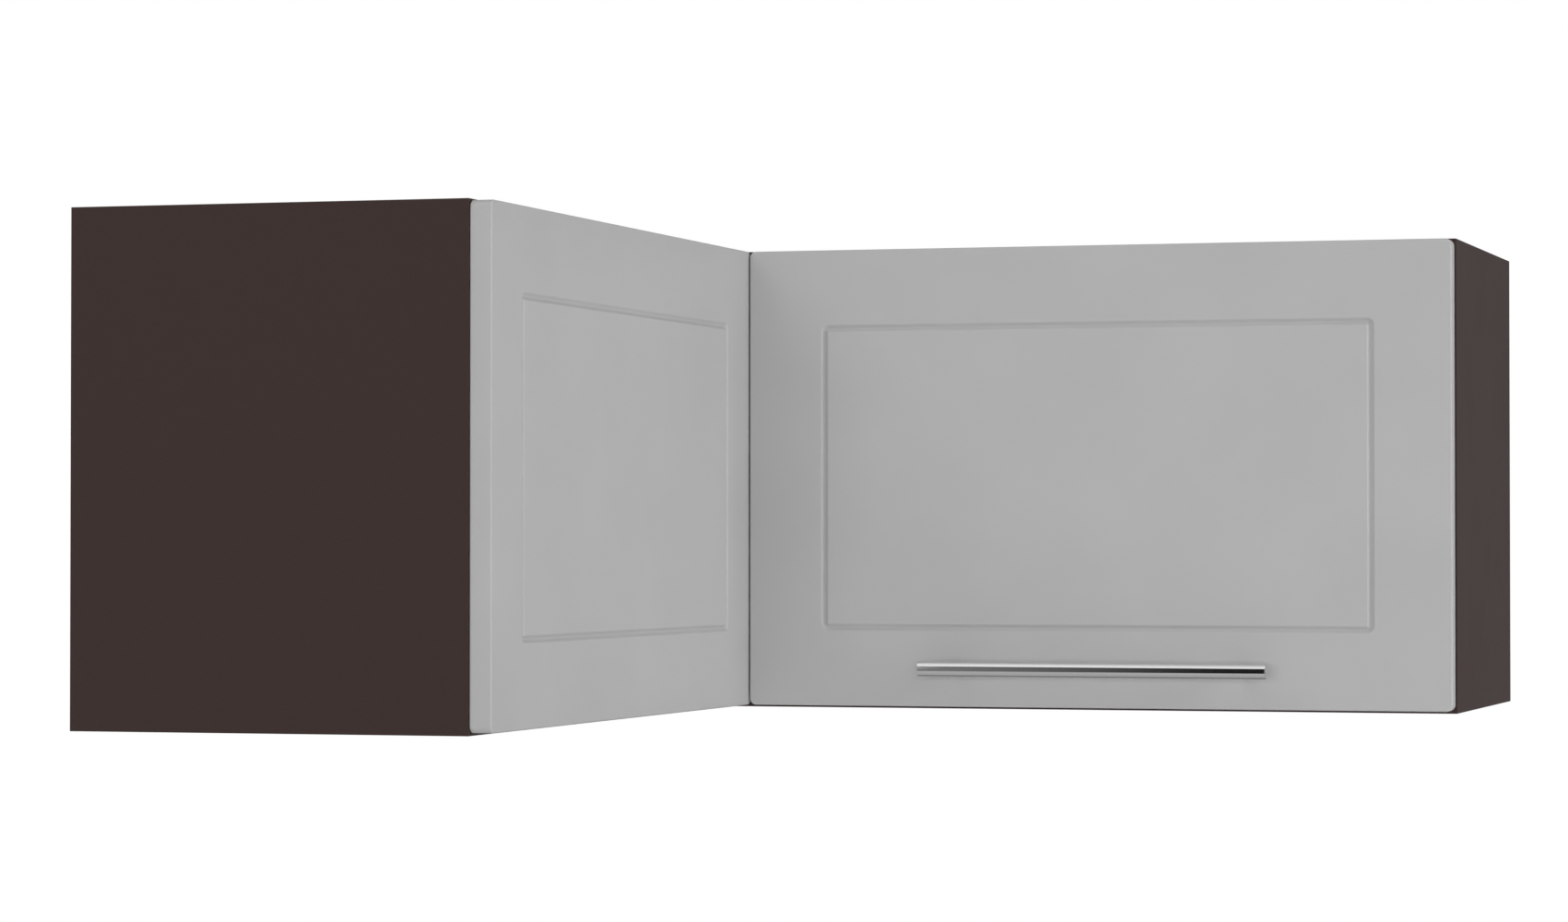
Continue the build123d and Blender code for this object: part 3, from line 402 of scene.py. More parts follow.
@dataclass(frozen=True)
class Hardboard(Finish):
    """Hardboard, lacquered dark on the inside and raw brown with fibre flecks on the wall side."""

    low: str = "#443936"
    high: str = "#4A3F3B"
    gloss: Pair = (0.55, 0.7)
    depth_mm: float = 0.04
    raw_low: str = "#5F4430"
    raw_high: str = "#8A6A4C"
    fleck_mm: float = 2.2
    stretch: Triple = (0.35, 0.35, 1)     # fibres lie level
    raw_side: Side = Side.BACK_WALL
    middle_mm: float = 17.6     # from the wall to the middle of the panel's thickness

    def build(self) -> None:
        """Choose lacquer or raw fibre by the distance to the wall, and fleck each."""
        tree, place, shader = self.start()
        fleck = speckle(tree, place, self.fleck_mm, detail=4, stretch=self.stretch)
        split = add(tree, "ShaderNodeSeparateXYZ", {"Vector": place})
        depth = add(tree, "ShaderNodeMath", {0: split.outputs[self.raw_side.value]}, operation="ABSOLUTE")
        raw = add(tree, "ShaderNodeMath", {0: depth.outputs[0], 1: self.middle_mm * MM},
                  operation="LESS_THAN")
        colour = add(tree, "ShaderNodeMix", {
            "Factor": raw.outputs[0], "A": blend_colours(tree, fleck, self.low, self.high),
            "B": blend_colours(tree, fleck, self.raw_low, self.raw_high)}, data_type="RGBA")
        self.coat(tree, shader, colour.outputs["Result"], fleck, fleck)


@dataclass(frozen=True)
class Metal(Finish):
    """A plated or polished metal: coloured reflection, with fine lines or spangle from its making."""

    line_mm: float            # real lines are under 0.1 mm apart; drawn coarser so that they show
    stretch: Triple = (1, 1, 1)

    def build(self) -> None:
        """Stretched grain in colour, roughness and relief on a full metal."""
        tree, place, shader = self.start()
        line = speckle(tree, place, self.line_mm, detail=3, stretch=self.stretch)
        self.coat(tree, shader, blend_colours(tree, line, self.low, self.high), line, line)
        shader.inputs["Metallic"].default_value = 1.0


@dataclass(frozen=True)
class Moulding(Finish):
    """Injection-moulded plastic with a spark-eroded texture: even colour, dull pebbled sheen."""

    low: str = "#9A9A9C"
    high: str = "#A2A2A4"
    gloss: Pair = (0.42, 0.55)
    depth_mm: float = 0.015
    pebble_mm: float = 0.8    # real pebbles are about 0.2 mm; drawn coarser so that they show
    cloud_mm: float = 25.0
    ior: float = 1.49

    def build(self) -> None:
        """Pebbles in the relief and roughness, slow clouds in the colour."""
        tree, place, shader = self.start()
        pebble = speckle(tree, place, self.pebble_mm)
        cloud = speckle(tree, place, self.cloud_mm)
        self.coat(tree, shader, blend_colours(tree, cloud, self.low, self.high), pebble, pebble)
        shader.inputs["IOR"].default_value = self.ior


@dataclass(frozen=True)
class Beech(Finish):
    """Turned beech: pale pinkish wood with short darker rays along the dowel."""

    low: str = "#B98F62"
    high: str = "#D6B184"
    gloss: Pair = (0.6, 0.6)
    depth_mm: float = 0.03
    ray_mm: float = 1.2       # real rays are about 0.3 mm wide; drawn coarser so that they show
    stretch: Triple = (0.2, 1, 1)

    def build(self) -> None:
        """Short streaks, drawn out along X, in the colour and the relief."""
        tree, place, shader = self.start()
        ray = speckle(tree, place, self.ray_mm, detail=3, stretch=self.stretch)
        self.coat(tree, shader, blend_colours(tree, ray, self.low, self.high), ray)


# Boards: the carcass, its pieces with edges against the walls, the fronts' white rear and their bores.
BOARD = MelamineBoard("melamine_board")
EDGED_BOARD = MelamineBoard("melamine_board_raw_rear", raw_rear=True)
WHITE_BACK = MelamineBoard("white_melamine_back", "#DEDEDB", "#E4E4E1")
RAW_FIBREBOARD = MelamineBoard("raw_fibreboard", "#9C7F5D", "#B29570", (0.7, 0.8), grain_mm=0.9)
FOIL = FoilFront("satin_foil")
HARDBOARD_BACK = Hardboard("hardboard_back_wall", raw_side=Side.BACK_WALL)
HARDBOARD_LEFT = Hardboard("hardboard_left_wall", raw_side=Side.LEFT_WALL)
BEECH = Beech("beech")
# Metals: dull cast zinc, bluish spangled zinc plate, warm nickel plate and the almost mirror-like bar.
DIE_CAST_ZINC = Metal("die_cast_zinc", "#8E8F92", "#A6A7AA", (0.36, 0.5), 0.02, 1.2)
BRIGHT_ZINC = Metal("bright_zinc_steel", "#AEB3B8", "#C9CDD1", (0.22, 0.34), 0.006, 2.0)
NICKEL = Metal("nickel_plated_steel", "#B3AFA8", "#CBC7C0", (0.16, 0.26), 0.004, 1.0, (0.3, 1, 1))
SATIN_NICKEL = Metal("satin_nickel_bar", "#E2E2E2", "#E9E9E9", (0.05, 0.09), 0.0004, 0.5, (0.15, 1, 1))
# Plastics: mid grey and off-white housings, and soft buttons that shine a little more.
GREY_HOUSING = Moulding("grey_moulded_housing")
WHITE_HOUSING = Moulding("white_moulded_housing", "#DADAD6", "#E2E2DE", pebble_mm=1.0)
SOFT_BUTTON = Moulding("soft_vinyl_button", "#C9C9C6", "#D5D5D2", (0.3, 0.4), pebble_mm=0.7, ior=1.52)


# ---- Fronts -------------------------------------------------------------------------------------
@dataclass
class FramedFront:
    """A front with rounded corners and edges, and a soft groove milled as a frame.

    Its surface is a set of rounded rectangles, each inset d from the outline, with corner radius r,
    at height h above the rear face.
    """

    name: str
    node: str
    body: str
    place: Place
    width: float
    height: float
    bores: list[Pair] = field(default_factory=list)
    thickness: float = 16 * MM
    corner: float = 5 * MM
    face_round: float = 1.0 * MM
    back_round: float = 1.5 * MM
    margin: float = 61.5 * MM           # from the outline to the groove's centreline
    groove_half: float = 3.1 * MM
    groove_deep: float = 2.0 * MM
    groove_corner: float = 3.0 * MM
    least_corner: float = 0.05 * MM
    support: float = 0.2 * MM           # a ring this far beside a curve keeps the flat's normals square
    bore_radius: float = 17.5 * MM
    bore_depth: float = 12.4 * MM
    corner_steps: int = 10
    groove_steps: int = 21
    edge_steps: int = 9
    bore_steps: int = 48

    def ring(self, inset: float, radius: float, level: float) -> Rows:
        """Points of one rounded rectangle, counted the way x turns to y.

        Each corner is centre + r (cos a, sin a) over a quarter turn, so a ring is four such arcs.

        Args:
            inset: Distance in from the outline.
            radius: Corner radius.
            level: Height above the rear face.

        Returns:
            Array of shape (4 * corner_steps, 3) in local coordinates.
        """
        low, right, top = inset + radius, self.width - inset - radius, self.height - inset - radius
        centres = np.array([[right, low], [right, top], [low, top], [low, low]])
        quarter = np.linspace(0, np.pi / 2, self.corner_steps)
        turn = quarter[None, :] + np.pi / 2 * np.arange(-1, 3)[:, None]
        arcs = centres[:, None, :] + radius * np.stack([np.cos(turn), np.sin(turn)], -1)
        flat = arcs.reshape(-1, 2)
        return np.column_stack([flat, np.full(len(flat), level)])

    def profile(self) -> list[Triple]:
        """Work out the rings from the middle of the face out and round to the back.

        The foil draws the groove soft: for half width w and depth g it is g cos^2 (pi x / 2w) deep at
        x from the centreline, and its corner radius is c + x. Both rounded edges are quarter circles.

        Returns:
            Inset, corner radius and level of each ring.
        """
        top = self.thickness
        across = np.linspace(-1, 1, self.groove_steps) * self.groove_half
        across = np.concatenate([across[:1] - self.support, across, across[-1:] + self.support])
        share = np.clip(across / self.groove_half, -1, 1)
        dip = self.groove_deep * np.cos(np.pi / 2 * share) ** 2
        turn = np.maximum(self.groove_corner + across, self.least_corner)
        rows = [(self.margin - x, r, top - g) for x, r, g in zip(across, turn, dip)]
        flat = self.face_round + self.support
        rows += [(flat, self.corner - flat, top)]
        rise = np.linspace(0, np.pi / 2, self.edge_steps)
        inset = self.face_round * (1 - np.sin(rise))
        rows += [(d, self.corner - d, top - self.face_round * (1 - c)) for d, c in zip(inset, np.cos(rise))]
        inset = self.back_round * (1 - np.cos(rise))
        rows += [(d, self.corner - d, self.back_round * (1 - s)) for d, s in zip(inset, np.sin(rise))]
        return rows

    def drill(self, start: int) -> tuple[list[Rows], list[Rows], Faces]:
        """Make the rear bores: each wall is centre + R (cos a, sin a) from the rear face to its depth.

        Args:
            start: Number of the first new point.

        Returns:
            Points, point numbers of each mouth, and faces that look into the bores.
        """
        angle = np.linspace(0, 2 * np.pi, self.bore_steps, endpoint=False)
        circle = self.bore_radius * np.column_stack([np.cos(angle), np.sin(angle), np.zeros(len(angle))])
        points, mouths, faces = [], [], []
        for x, y in self.bores:
            mouth = circle + [x, y, 0]
            points += [mouth, mouth + [0, 0, self.bore_depth]]
            mouths.append(np.arange(self.bore_steps) + start)
            faces += [face[::-1] for face in band_faces(2, self.bore_steps, start)]
            faces.append((mouths[-1] + self.bore_steps)[::-1].tolist())
            start += 2 * self.bore_steps
        return points, mouths, faces

    def build(self) -> bpy.types.Object:
        """Build the front, its rear bores included, and put it in its CAD node's place.

        Returns:
            The finished piece.
        """
        rings = [self.ring(*row) for row in self.profile()]
        per_ring = len(rings[0])
        total = len(rings) * per_ring
        faces = [list(range(per_ring))] + band_faces(len(rings), per_ring)
        bored = len(faces)
        drilled, mouths, inner = self.drill(total)
        faces += inner
        rear = len(faces)
        points = np.concatenate([*rings, *drilled])
        loops = [np.arange(total - per_ring, total), *mouths]
        order = np.concatenate(loops)
        triangles = tessellate_polygon([[Vector(points[n]) for n in loop] for loop in loops])
        faces += [self.facing_down(points, [order[n] for n in corners]) for corners in triangles]
        piece = mesh_piece(self.name, self.place.world(points), faces)
        for finish in (FOIL, RAW_FIBREBOARD, WHITE_BACK):
            piece.data.materials.append(finish.material())
        number = np.arange(len(faces))
        piece.data.polygons.foreach_set("material_index", (number >= bored).astype(int) + (number >= rear))
        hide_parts(self.node)
        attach(piece, self.body)
        log.info("front %s with %d faces", self.name, len(piece.data.polygons))
        return piece

    @staticmethod
    def facing_down(points: Rows, face: list[int]) -> list[int]:
        """The face, turned over if its normal points up the local z."""
        a, b, c = (points[n] for n in face[:3])
        return face[::-1] if np.cross(b - a, c - a)[2] > 0 else face


# ---- Handle -------------------------------------------------------------------------------------
@dataclass
class BarHandle:
    """Round bar handle: a lathe profile about the bar's axis."""

    radius: float = 6 * MM
    edge: float = 0.7 * MM
    dish_shares: Triple = (0.55, 0.9, 0.97)              # shallow dish in each end, of its flat's radius
    dish_depths: Triple = (0.25 * MM, 0.25 * MM, 0.0)
    around: int = 64
    edge_steps: int = 7
    straight_steps: int = 9     # rings this close to the rounded ends keep the bar's normals square
    crease: float = 40.0

    def build(self) -> bpy.types.Object:
        """Carry the end-to-end profile round the axis: point = axis + r (cos a, sin a).

        Returns:
            The bar.
        """
        low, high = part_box("handle_bar")
        centre = (low + high) / 2
        half = (high.x - low.x) / 2
        bend = np.linspace(0, np.pi / 2, self.edge_steps)
        ends_x = half - self.edge * (1 - np.sin(bend))
        ends_r = self.radius - self.edge * (1 - np.cos(bend))
        dish_r = np.array(self.dish_shares) * (self.radius - self.edge)
        dish_x = half - np.array(self.dish_depths)
        straight = np.linspace(-1, 1, self.straight_steps) * (half - 2 * self.edge)
        full = np.full(self.straight_steps, self.radius)
        along = np.concatenate([-dish_x, -ends_x[::-1], straight, ends_x, dish_x[::-1]])
        radius = np.concatenate([dish_r, ends_r[::-1], full, ends_r, dish_r[::-1]])
        angle = np.linspace(0, 2 * np.pi, self.around, endpoint=False)
        rings = np.stack([np.broadcast_to(along[:, None], (len(along), self.around)),
                          radius[:, None] * np.cos(angle), radius[:, None] * np.sin(angle)], -1)
        points = rings.reshape(-1, 3) + np.array(centre)
        faces = [face[::-1] for face in band_faces(len(along), self.around)]
        first = np.arange(self.around)
        faces += [first[::-1].tolist(), (first + (len(along) - 1) * self.around).tolist()]
        piece = mesh_piece("bar", points, faces, self.crease)
        piece.data.materials.append(SATIN_NICKEL.material())
        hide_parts("handle_bar")
        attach(piece, "door")
        log.info("handle bar %.0f mm long", 2 * half / MM)
        return piece


# ---- Fasteners ----------------------------------------------------------------------------------
class Drive(Enum):
    """Recess of a fastener's head: arm length, arm half width and depth, as shares of its radius."""

    CROSS = (0.52, 0.13, 0.34)
    CAM_CROSS = (0.5, 0.1, 0.24)
    HEXAGON = (0.5, 0.5, 0.4)


@dataclass(frozen=True)
class Seat:
    """Where one fastener sits and how large it is, as read from its CAD solid."""

    top: Rows           # point on the axis at the head's top
    out: Rows           # unit direction out of the head
    radius: float
    head: float         # height of the head
    shank: float        # radius at the tip
    length: float


@dataclass
class TurnedFastener:
    """One kind of turned fastener, built in each of a CAD node's solids.

    The head is a polar grid of radii and angles, with its crown less the depth of its recess, and
    goes on as rings down its side, under it and along the shank. A cam lock is an upright drum
    whose recess looks at the middle of the cabinet's height.
    """

    node: str
    finish: Metal
    slot: str = "plated_steel"
    drive: Drive = Drive.CROSS
    crown: float = 0.35                     # drop of the head's rounded top, as a share of its height
    is_cam: bool = False
    around: int = 48
    middle: float = 180 * MM                # half the cabinet's height
    cam_head: float = 4 * MM
    cam_rim: float = 0.3 * MM
    cam_end: float = 0.1                    # innermost ring under a cam, as a share of its radius
    rim_share: float = 0.98                 # beyond this share of the radius a point is on the head's rim
    tip_reach: float = 0.02 * MM            # within this of the end a point is on the tip
    face_span: Pair = (0.03, 0.93)          # first and last ring of the head, as shares of its radius
    face_rings: int = 22
    crown_power: float = 2.4
    rim: tuple[Pair, Pair] = ((0.975, 1.15), (1.0, 1.5))    # shares of the radius and of the drop
    point: Pair = (0.15, 0.8)               # tip's radius and the cone's length, as shares of the shank's
    wall: float = 0.06                      # width over which each wall of a recess slopes
    end_wall: float = 0.08
    hexagon_wall: float = 0.04
    turns: Pair = (0.4, 1.1)                # where the first recess stops, and how far on each next one
    crease: float = 35.0

    def recess(self, x: Rows, y: Rows) -> Rows:
        """Work out the recess of the head.

        A cross is cut where the smaller of |x| and |y| is under the half width and the larger under
        the arm; a hexagon where the largest of three projections, 60 degrees apart, is under the arm.

        Args:
            x: Places along the head, as shares of its radius.
            y: Places across it.

        Returns:
            Depths, as shares of the radius.
        """
        arm, half, depth = self.drive.value
        if self.drive is Drive.HEXAGON:
            turn = np.arange(3) * np.pi / 3
            reach = np.abs(x[..., None] * np.cos(turn) + y[..., None] * np.sin(turn)).max(-1)
            return depth * np.clip((arm - reach) / self.hexagon_wall + 0.5, 0, 1)
        near, far = np.minimum(np.abs(x), np.abs(y)), np.maximum(np.abs(x), np.abs(y))
        slot = np.clip((half - near) / self.wall + 0.5, 0, 1)
        return depth * slot * np.clip((arm - far) / self.end_wall + 0.5, 0, 1)

    def measure(self, cloud: Rows) -> Seat:
        """Read one solid's axis, head and shank.

        The axis is the longest side of the solid's box, and the head the end with its widest points.

        Args:
            cloud: The solid's points.

        Returns:
            Its seat.
        """
        low, high = cloud.min(0), cloud.max(0)
        axis = 2 if self.is_cam else int(np.argmax(high - low))
        centre = (low + high) / 2
        radial = np.linalg.norm(np.delete(cloud - centre, axis, 1), axis=1)
        radius = radial.max()
        under = cloud[radial > self.rim_share * radius, axis].mean()
        upward = centre[2] < self.middle if self.is_cam else under > centre[axis]
        top, tip = (high[axis], low[axis]) if upward else (low[axis], high[axis])
        head = self.cam_head if self.is_cam else abs(top - under)
        shank = radius if self.is_cam else radial[np.abs(cloud[:, axis] - tip) < self.tip_reach].max()
        along = np.eye(3)[axis]
        return Seat(np.where(along > 0, top, centre), along * (1.0 if upward else -1.0), radius, head,
                    shank, abs(top - tip))

    def rings(self, seat: Seat) -> Rows:
        """Make one fastener's local rings, with z out of the head.

        At share s of the radius the head lies drop * s^2.4 under its top, less the recess.

        Args:
            seat: Its sizes.

        Returns:
            Rings of shape (k, around, 3), in metres.
        """
        drop = self.crown * seat.head
        angle = np.linspace(0, 2 * np.pi, self.around, endpoint=False)[None, :]
        share = np.linspace(*self.face_span, self.face_rings)[:, None]
        x, y = share * np.cos(angle), share * np.sin(angle)
        level = -drop * share ** self.crown_power - self.recess(x, y) * seat.radius
        grid = np.stack([x * seat.radius, y * seat.radius, np.broadcast_to(level, x.shape)], -1)
        if self.is_cam:
            outline = [(seat.radius, drop * self.rim[0][1] + self.cam_rim), (seat.radius, seat.length),
                       (self.cam_end * seat.radius, seat.length)]
        else:
            outline = [(wide * seat.radius, drop * deep) for wide, deep in self.rim]
            outline += [(seat.radius, seat.head), (seat.shank, seat.head),
                        (seat.shank, seat.length - self.point[1] * seat.shank),
                        (self.point[0] * seat.shank, seat.length)]
        wide, deep = np.array(outline).T[..., None]
        side = np.stack([wide * np.cos(angle), wide * np.sin(angle),
                         np.broadcast_to(-deep, (len(outline), self.around))], -1)
        return np.concatenate([grid, side])

    def build(self) -> bpy.types.Object:
        """Build every fastener of the node as one piece.

        Returns:
            The piece.
        """
        points, faces, start = [], [], 0
        for number, cloud in enumerate(solids(self.node)):
            seat = self.measure(cloud)
            rings = self.rings(seat)
            x = np.roll(np.abs(seat.out), 1)
            y = np.cross(seat.out, x)
            turn = self.turns[0] + self.turns[1] * number
            place = Place(tuple(seat.top), tuple(x * math.cos(turn) + y * math.sin(turn)), tuple(seat.out))
            first = np.arange(self.around) + start
            faces += band_faces(len(rings), self.around, start)
            faces += [first.tolist(), (first + (len(rings) - 1) * self.around)[::-1].tolist()]
            points.append(place.world(rings.reshape(-1, 3)))
            start += len(points[-1])
        piece = mesh_piece(f"{self.node}_turned", np.concatenate(points), faces, self.crease)
        piece.data.materials.append(self.finish.material())
        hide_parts(self.node)
        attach(piece, body_of(self.node))
        log.info("%s: %d fasteners", piece.name, len(points))
        return piece


# ---- Eased pieces -------------------------------------------------------------------------------
@dataclass
class EasedPiece:
    """A CAD solid as it leaves the workshop: curved faces smooth, and its edges slightly broken."""

    node: str
    finish: Finish
    slot: str
    ease_mm: float
    ease_steps: int = 2
    merge: float = 0.002 * MM
    flat_angle: float = 0.3         # degrees: faces flatter than this to one another become one
    smooth_angle: float = 28.0      # edges up to this shade smooth
    ease_angle: float = 50.0        # edges over this are broken

    def build(self) -> bpy.types.Object:
        """Merge a copy of the node's triangles, ease its edges and put it in the node's place.

        Returns:
            The piece.
        """
        mesh = frame["nodes"][self.node].data.copy()
        shape = bmesh.new()
        shape.from_mesh(mesh)
        bmesh.ops.remove_doubles(shape, verts=shape.verts, dist=self.merge)
        bmesh.ops.dissolve_limit(shape, angle_limit=math.radians(self.flat_angle), verts=shape.verts,
                                 edges=shape.edges)
        for face in shape.faces:
            face.smooth = True
        shape.to_mesh(mesh)
        shape.free()
        mesh.set_sharp_from_angle(angle=math.radians(self.smooth_angle))
        mesh.materials.clear()
        mesh.materials.append(self.finish.material())
        piece = bpy.data.objects.new(f"{self.node}_eased", mesh)
        bpy.context.scene.collection.objects.link(piece)
        bevel = piece.modifiers.new("eased_edges", "BEVEL")
        bevel.width, bevel.segments = self.ease_mm * MM, self.ease_steps
        bevel.limit_method, bevel.angle_limit = "ANGLE", math.radians(self.ease_angle)
        bevel.use_clamp_overlap, bevel.harden_normals = False, True
        self.settle(piece)
        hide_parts(self.node)
        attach(piece, body_of(self.node))
        log.info("%s: edges eased by %.2f mm", piece.name, self.ease_mm)
        return piece

    def settle(self, piece: bpy.types.Object) -> None:
        """Bake the piece's modifier, and hold its points within the CAD node's box.

        Args:
            piece: Object that carries the modifier.
        """
        graph = bpy.context.evaluated_depsgraph_get()
        mesh = bpy.data.meshes.new_from_object(piece.evaluated_get(graph))
        low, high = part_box(self.node)
        points = np.empty(len(mesh.vertices) * 3)
        mesh.vertices.foreach_get("co", points)
        held = np.clip(points.reshape(-1, 3), np.array(low), np.array(high))
        mesh.vertices.foreach_set("co", held.ravel())
        piece.modifiers.clear()
        piece.data = mesh


# ---- Cabinet ------------------------------------------------------------------------------------
@dataclass
class Cabinet:
    """The whole cabinet: eased boards and fittings, turned fasteners, both fronts and the handle."""

    cup_drop: float = 21.5 * MM     # from the door's top edge to the hinge bores' centres
    eased: list[tuple[Finish, str, float, tuple[str, ...]]] = field(default_factory=lambda: [
        (EDGED_BOARD, "carcass_board", 0.4, ("left_end_panel", "right_end_panel", "top_board",
                                             "bottom_board")),
        (BOARD, "carcass_board", 0.4, ("corner_stile_left", "corner_stile_right", "rear_stile_left",
                                       "rear_stile_right")),
        (HARDBOARD_BACK, "hardboard", 0.2, ("back_panel_right",)),
        (HARDBOARD_LEFT, "hardboard", 0.2, ("back_panel_left",)),
        (BRIGHT_ZINC, "plated_steel", 0.2, (
            "front_brackets", "hanger_hook_left", "hanger_hook_right", "wall_plate_left", "wall_plate_right",
            "stay_base", "stay_bracket", "stay_bracket_pin", "stay_lever", "stay_joint_pin", "stay_coupler")),
        (NICKEL, "nickel_plate", 0.15, (
            "hinge_arm_left", "hinge_arm_right", "hinge_plate_left", "hinge_plate_right", "hinge_cup_left",
            "hinge_cup_right", "hinge_link_left", "hinge_link_right")),
        (SATIN_NICKEL, "satin_handle", 0.3, ("handle_post_left", "handle_post_right")),
        (GREY_HOUSING, "grey_plastic", 0.3, ("stay_cover",)),
        (WHITE_HOUSING, "white_plastic", 0.3, ("hanger_housing_left", "hanger_housing_right")),
        (SOFT_BUTTON, "clear_bumper", 0.2, ("door_bumpers",)),
    ])
    turned: list[TurnedFastener] = field(default_factory=lambda: [
        TurnedFastener("hinge_plate_screws", BRIGHT_ZINC, "nickel_plate"),
        TurnedFastener("hinge_cup_screws", BRIGHT_ZINC, "nickel_plate"),
        TurnedFastener("front_bracket_screws", BRIGHT_ZINC),
        TurnedFastener("front_screws", BRIGHT_ZINC),
        TurnedFastener("hanger_screws", BRIGHT_ZINC),
        TurnedFastener("stay_screws", BRIGHT_ZINC),
        TurnedFastener("stay_bracket_screws", BRIGHT_ZINC),
        TurnedFastener("handle_screws", BRIGHT_ZINC),
        TurnedFastener("stay_pivot_bolt", BRIGHT_ZINC, drive=Drive.HEXAGON, crown=0.2),
        TurnedFastener("cam_locks", DIE_CAST_ZINC, "zinc_fitting", Drive.CAM_CROSS, 0.08, is_cam=True),
    ])
    plain: dict[Finish, tuple[str, ...]] = field(default_factory=lambda: {
        BEECH: ("dowels",),
        DIE_CAST_ZINC: ("cam_bolts",),
        NICKEL: ("hinge_arm_pins", "hinge_cup_pins"),
    })

    def dress(self) -> None:
        """Give each CAD node that stays its finish: those that lie inside other pieces."""
        for finish, nodes in self.plain.items():
            for name in nodes:
                mesh = frame["nodes"][name].data
                mesh.materials.clear()
                mesh.materials.append(finish.material())
            log.info("%s on %d nodes", finish.name, len(nodes))

    def fronts(self) -> None:
        """Build both fronts where their CAD nodes are."""
        low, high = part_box("left_front")
        FramedFront("fixed_front", "left_front", "carcass", Place(tuple(low), (0, 1, 0), (1, 0, 0)),
                    high.y - low.y, high.z - low.z).build()
        low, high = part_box("door_panel")
        bores = []
        for side in ("left", "right"):
            cup_low, cup_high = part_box(f"hinge_cup_{side}")
            bores.append((((cup_low + cup_high) / 2).x - low.x, high.z - self.cup_drop - low.z))
        FramedFront("lift_up_front", "door_panel", "door",
                    Place((low.x, high.y, low.z), (1, 0, 0), (0, -1, 0)),
                    high.x - low.x, high.z - low.z, bores).build()

    def build(self) -> None:
        """Dress the nodes and build the pieces that replace nodes."""
        self.dress()
        for finish, slot, ease_mm, nodes in self.eased:
            for node in nodes:
                EasedPiece(node, finish, slot, ease_mm).build()
        for fastener in self.turned:
            fastener.build()
        self.fronts()
        BarHandle().build()


# ---- Studio -------------------------------------------------------------------------------------
@dataclass(frozen=True)
class SoftLamp:
    """A rectangular soft lamp that faces a point and isn't mirrored by metal."""

    name: str
    spot: Triple
    size: Pair
    watts: float
    aim: Triple = CABINET_MIDDLE

    def build(self) -> bpy.types.Object:
        """Hang the lamp.

        Returns:
            The lamp.
        """
        data = bpy.data.lights.new(self.name, "AREA")
        data.shape, data.energy = "RECTANGLE", self.watts
        data.size, data.size_y = self.size
        lamp = bpy.data.objects.new(self.name, data)
        lamp.location = self.spot
        lamp.rotation_euler = (Vector(self.aim) - Vector(self.spot)).to_track_quat("-Z", "Y").to_euler()
        lamp.visible_glossy = False
        bpy.context.scene.collection.objects.link(lamp)
        return lamp


